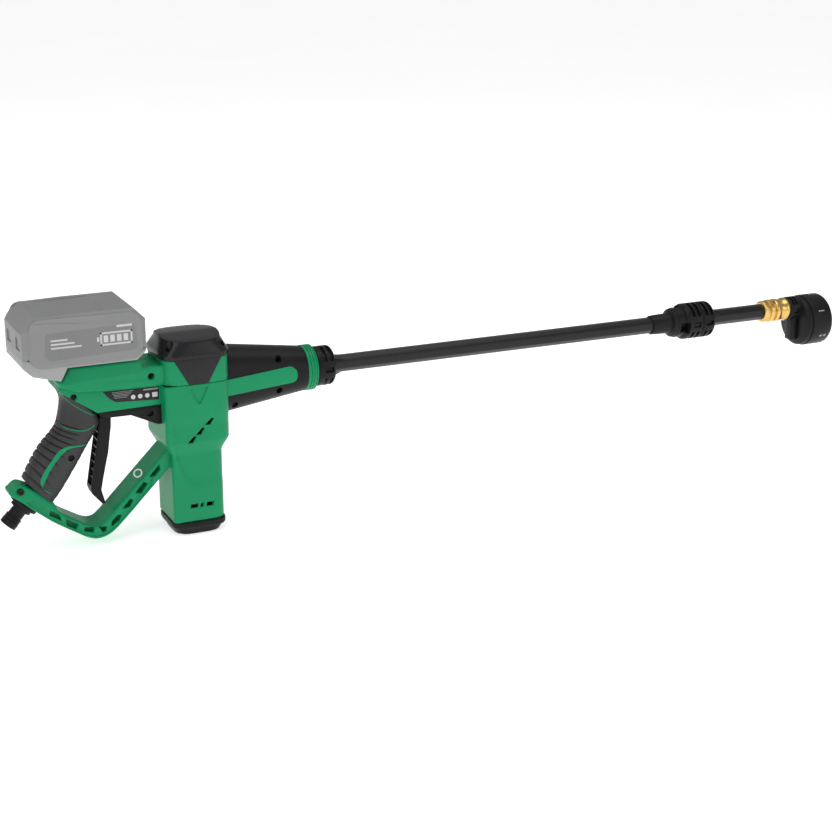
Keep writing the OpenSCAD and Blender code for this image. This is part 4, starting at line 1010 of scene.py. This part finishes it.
# %% White print on the drum
def drum_mark(name, parts):
    """Quads on the drum's rim: each is a list of (x, degrees round from the near side)."""
    mark = Piece(name)
    for quad in parts:
        corners = [Vector((x, a, 0)) for x, a in quad]

        def place(s, w):
            p = corners[0].lerp(corners[1], s).lerp(corners[3].lerp(corners[2], s), w)
            a = math.radians(p.y)
            return Vector((p.x, -(DRUM_R + 0.03) * math.cos(a), DRUM_Z + (DRUM_R + 0.03) * math.sin(a)))
        mark.sheet(4, 4, place)
    bmesh.ops.remove_doubles(mark.bm, verts=mark.bm.verts, dist=0.0001)
    mark.done("black_plastic", "turret", look="print")


middle = (x0 + x1) / 2 - 1
for k, base in enumerate((32, 92, 152, 212, 272, 332)):
    if k % 2:
        parts = [[(middle - 3 + 5 * i, base - 0.6), (middle - 2.4 + 5 * i, base - 0.6),
                  (middle + 0.8 + 5 * i, base - 2.6 + 3 * j), (middle + 0.8 + 5 * i, base - 4.2 + 3 * j)]
                 for i in range(2) for j in range(3)]
    else:
        starts = [middle - 4 + 1.9 * j for j in range(4)]
        parts = [[(x, base - 1.2), (x + 1.1, base - 1.2), (x + 1.1, base + 1.2), (x, base + 1.2)]
                 for x in starts]
    drum_mark("drum_mark_%d" % (k + 1), parts)

# %% [markdown]
# ## The battery
# The pack clips on from behind. Its shell has cut corners, a raised panel on each side and a recess on top.
# It is an outline grown across the tool, whose rear corners are sliced off by planes. Its top stays above
# the cells.

# %% The battery's upper shell
case_low, case_high = box_mm("battery_case")
BX0, BX1 = case_low.x, case_high.x
BTOP = case_high.z - 1.4
CELL_TOP = box_mm("battery_cells")[1].z
SPLIT = case_low.z
HALF = case_high.y
finishes["battery_low"] = moulded("battery grey lower", (0.30, 0.302, 0.305), (0.34, 0.342, 0.345), 0.50)
finishes["label"] = moulded("battery label", (0.185, 0.186, 0.188), (0.215, 0.216, 0.218), 0.46, 0.00002)


def slice_corners(piece, depth):
    """Cuts the two rear corners off, seen from above."""
    for side in (-1, 1):
        geom = piece.bm.verts[:] + piece.bm.edges[:] + piece.bm.faces[:]
        outwards = Vector((-1, side, 0)).normalized()
        cut = bmesh.ops.bisect_plane(piece.bm, geom=geom, plane_co=(BACK, side * (HALF - depth), 0),
                                     plane_no=outwards, clear_outer=True)["geom_cut"]
        edges = [e for e in cut if isinstance(e, bmesh.types.BMEdge)]
        bmesh.ops.holes_fill(piece.bm, edges=edges, sides=0)


case = Piece("battery_shell")
BACK = BX0 - 1.2
case.slab([(BACK, SPLIT), (BACK, BTOP - 14.4), (BACK + 6, BTOP - 6.4), (BX0 + 12.4, CELL_TOP + 0.3),
           (BX0 + 50, max(BTOP - 0.4, CELL_TOP + 1.2)), (BX1 - 10, max(BTOP, CELL_TOP + 1.2)),
           (BX1 + 0.3, BTOP - 10), (BX1 + 0.3, SPLIT)],
          -HALF + 1.0, HALF - 1.0, rim=3.0, inner=3.0, segments=1)
slice_corners(case, 6.5)
cuts = Piece("top recess")
cuts.slab([(BX0 + 22, CELL_TOP + 0.15), (BX0 + 74, CELL_TOP + 0.6), (BX0 + 74, BTOP + 5),
           (BX0 + 22, BTOP + 5)], -27, 27, corner=2)
dent = [(BACK - 4, SPLIT + 6), (BACK + 1.2, SPLIT + 6), (BACK + 1.2, SPLIT + 17), (BACK - 4, SPLIT + 17)]
cuts.slab(dent, -24, -9).slab(dent, 9, 24)
case.done("grey_plastic", "battery", "battery_case", cut=cuts, bevel=0.9, angle=18, segments=3)

# %% [markdown]
# The lower half is the cover. It tapers to a foot at the back, and three slots are cut into it: the rail's
# neck, the rail's wider head, and a well for the latch.

# %% The battery's cover
low_case = Piece("battery_shell_low")
FOOT = (TAIL + 5, at(24.6))
low_case.slab([(BACK, SPLIT - 0.1), (BACK, SPLIT - 7.6), (BACK + 7.6, FOOT[1] + 6.8), FOOT,
               (FOOT[0] + 6.4, at(36.4)), (BX1 - 9, at(36.4)), (BX1 - 1, SPLIT - 3), (BX1, SPLIT - 0.1)],
              -HALF + 1.0, HALF - 1.0, rim=2.4, inner=2.4, segments=2)
slice_corners(low_case, 6.5)
cuts = Piece("rail channel")
for x0, x1, z0, z1, half in ((FOOT[0] + 3, BX1 + 5, at(20), RAIL + 6.1, 17.4),
                             (FOOT[0] + 3, BX1 + 5, RAIL + 5.7, SPLIT - 1.2, 22.4),
                             (BX0 + 9, BX0 + 28, at(10), SPLIT - 2, 11.3)):
    cuts.slab([(x0, z0), (x1, z0), (x1, z1), (x0, z1)], -half, half)
low_case.done("grey_plastic", "battery", "battery_cover", cut=cuts, bevel=0.6, angle=24, look="battery_low")

# %% [markdown]
# Each side carries a raised panel with cut corners, and a darker label lies in it. Both are thin slabs, set
# a tenth of a millimetre apart so that no two faces coincide.

# %% The battery's panels and labels
PANEL = [(BX0 + 4.7, BTOP - 6.8), (BX0 + 10.1, BTOP - 1.2), (BX1 - 10.2, BTOP - 2.2), (BX1 - 3.8, BTOP - 9.6),
         (BX1 - 3.6, SPLIT - 2.8), (BX1 - 10, SPLIT - 7.6), (BX0 + 11.2, SPLIT - 7.6), (BX0 + 3.7, SPLIT - 2)]
LABEL = [(BX0 + 19, BTOP - 14.5), (BX1 - 11, BTOP - 12.5), (BX1 - 7.5, SPLIT + 4.5), (BX1 - 12, SPLIT + 1.0),
         (BX0 + 22, SPLIT - 1.5), (BX0 + 17, SPLIT + 3)]
for side, hand in ((-1, "right"), (1, "left")):
    panel = Piece("battery_panel_" + hand)
    panel.slab(PANEL, side * (HALF - 2.6), side * (HALF - 0.2), corner=4, rim=1.1)
    panel.done("grey_plastic", "battery")
    Piece("battery_label_" + hand).slab(LABEL, side * (HALF - 0.6), side * (HALF - 0.1), corner=1.5).done(
        "grey_plastic", "battery", look="label")

# %% [markdown]
# The battery's print is a charge gauge and a few bars, and the rating plate behind the barrel has rows of
# fine lines and four badges. Flat print needs no bending, so each mark is a thin upright slab on its panel.

# %% The battery's print and the rating plate
def bars(name, finish, body, look, side, y, boxes):
    """Flat upright rectangles at one distance from the middle plane."""
    mark = Piece(name)
    for x0, z0, x1, z1 in boxes:
        mark.slab([(x0, z0), (x1, z0), (x1, z1), (x0, z1)], side * (y - 0.3), side * y)
    mark.done(finish, body, look=look)


def frame_box(x0, z0, x1, z1, wide):
    """Four bars round a rectangle."""
    return [(x0, z0, x1, z0 + wide), (x0, z1 - wide, x1, z1),
            (x0, z0, x0 + wide, z1), (x1 - wide, z0, x1, z1)]

for side, hand in ((-1, "right"), (1, "left")):
    gauge = frame_box(BX1 - 42, SPLIT + 7.5, BX1 - 13, SPLIT + 19.5, 1.5)
    gauge += [(BX1 - 39 + 6 * i, SPLIT + 10.4, BX1 - 35 + 6 * i, SPLIT + 16.6) for i in range(4)]
    gauge += [(BX1 - 45, SPLIT + 11.4, BX1 - 43, SPLIT + 15.6)]
    gauge += [(BX0 + 23, SPLIT + 9 + 3.4 * i, BX0 + 50 - 6 * i, SPLIT + 10.5 + 3.4 * i) for i in range(3)]
    gauge += [(BX1 - 27, SPLIT + 23, BX1 - 13, SPLIT + 25)]
    bars("battery_marks_" + hand, "grey_plastic", "battery", "print", side, HALF, gauge)

PLATE = [(REAR - 54.4, at(6.1)), (REAR - 2.1, at(5.1)), (REAR - 2.6, at(-7.3)), (REAR - 42.5, at(-5)),
         (REAR - 48.3, at(-1.2))]
Piece("rating_plate").slab(PLATE, -19.8, -20.3, corner=0.6, rim=0.15).done("gloss_black_plastic", "gun")
rows = [(REAR - 46 + 0.6 * i, at(4.0 - 1.35 * i), REAR - 26 - 1.5 * i, at(4.5 - 1.35 * i)) for i in range(5)]
rows += [(REAR - 17, at(2.8), REAR - 3, at(4.2))]
bars("plate_lines", "gloss_black_plastic", "gun", "faded print", -1, 20.45, rows)
badges = Piece("plate_badges")
for i in range(3):
    x = REAR - 26.5 + 6.6 * i
    badges.rod(2.1, 0.14, Matrix.Translation((x, -20.4, at(-2.0))) @ Matrix.Rotation(math.pi / 2, 4, "X"))
x = REAR - 6.7
badges.slab([(x - 2, at(-4.2)), (x + 3, at(-4.2)), (x + 3, at(0.2)), (x - 2, at(0.2))], -20.33, -20.47)
badges.done("gloss_black_plastic", "gun", look="print")

# %% [markdown]
# ## The stage
# A product like this is shot on white paper with large soft lights, so the shadows stay faint. The long
# lens keeps the lance nearly straight across the view. The floor is a pale sheet that glows a little, as
# lit paper does, and four soft boxes and a white world light the gun.

# %% The camera
camera = bpy.data.objects.new("camera", bpy.data.cameras.new("camera"))
bpy.context.scene.collection.objects.link(camera)
camera.data.sensor_width = 36
camera.data.lens = 78.77
camera.data.clip_end = 20
camera.location = (-0.4889, -1.5524, 0.6175)
turn = Matrix.Rotation(math.radians(-24.917), 3, "Z") @ Matrix.Rotation(math.radians(90 - 17.486), 3, "X")
camera.rotation_euler = (turn @ Matrix.Rotation(math.radians(0.132), 3, "Z")).to_euler()
bpy.context.scene.camera = camera
print("camera %.2f m from the barrel" % camera.location.length)

# %% The floor
floor_mesh = bpy.data.meshes.new("floor")
grid = bmesh.new()
bmesh.ops.create_grid(grid, x_segments=1, y_segments=1, size=12)
grid.to_mesh(floor_mesh)
grid.free()
floor = bpy.data.objects.new("floor", floor_mesh)
bpy.context.scene.collection.objects.link(floor)
paper = Finish("paper floor")
paper.set("Base Color", paper.blend(paper.noise(3, 2), (0.90, 0.90, 0.90), (0.94, 0.94, 0.94)))
paper.set("Roughness", 0.9)
paper.set("Specular IOR Level", 0.1)
paper.set("Emission Color", paper.blend(paper.noise(3, 2), (0.98, 0.98, 0.98), (1.0, 1.0, 1.0)))
paper.set("Emission Strength", 0.62)
floor.data.materials.append(paper.material)
print("floor %.0f m across" % floor.dimensions.x)

# %% The lights
def softbox(name, place, target, size, power):
    light = bpy.data.lights.new(name, "AREA")
    light.shape = "RECTANGLE"
    light.size, light.size_y = size
    light.energy = power
    lamp = bpy.data.objects.new(name, light)
    bpy.context.scene.collection.objects.link(lamp)
    lamp.location = place
    lamp.rotation_euler = (Vector(target) - Vector(place)).to_track_quat("-Z", "Y").to_euler()


softbox("key", (-1.6, -1.4, 1.3), (0, 0, 0.12), (0.7, 1.5), 12)
softbox("top", (0.3, -0.2, 1.9), (0.25, 0, 0.1), (2.2, 1.2), 15)
softbox("front", (1.4, -2.0, 0.9), (0.3, 0, 0.1), (1.6, 1.2), 8)
softbox("rear", (-1.2, 1.4, 1.2), (0, 0, 0.1), (1.2, 1.2), 3)
world = bpy.data.worlds.new("studio")
world.use_nodes = True
world.node_tree.nodes["Background"].inputs["Color"].default_value = (1, 1, 1, 1)
world.node_tree.nodes["Background"].inputs["Strength"].default_value = 0.35
bpy.context.scene.world = world
bpy.context.scene.view_settings.view_transform = "Standard"
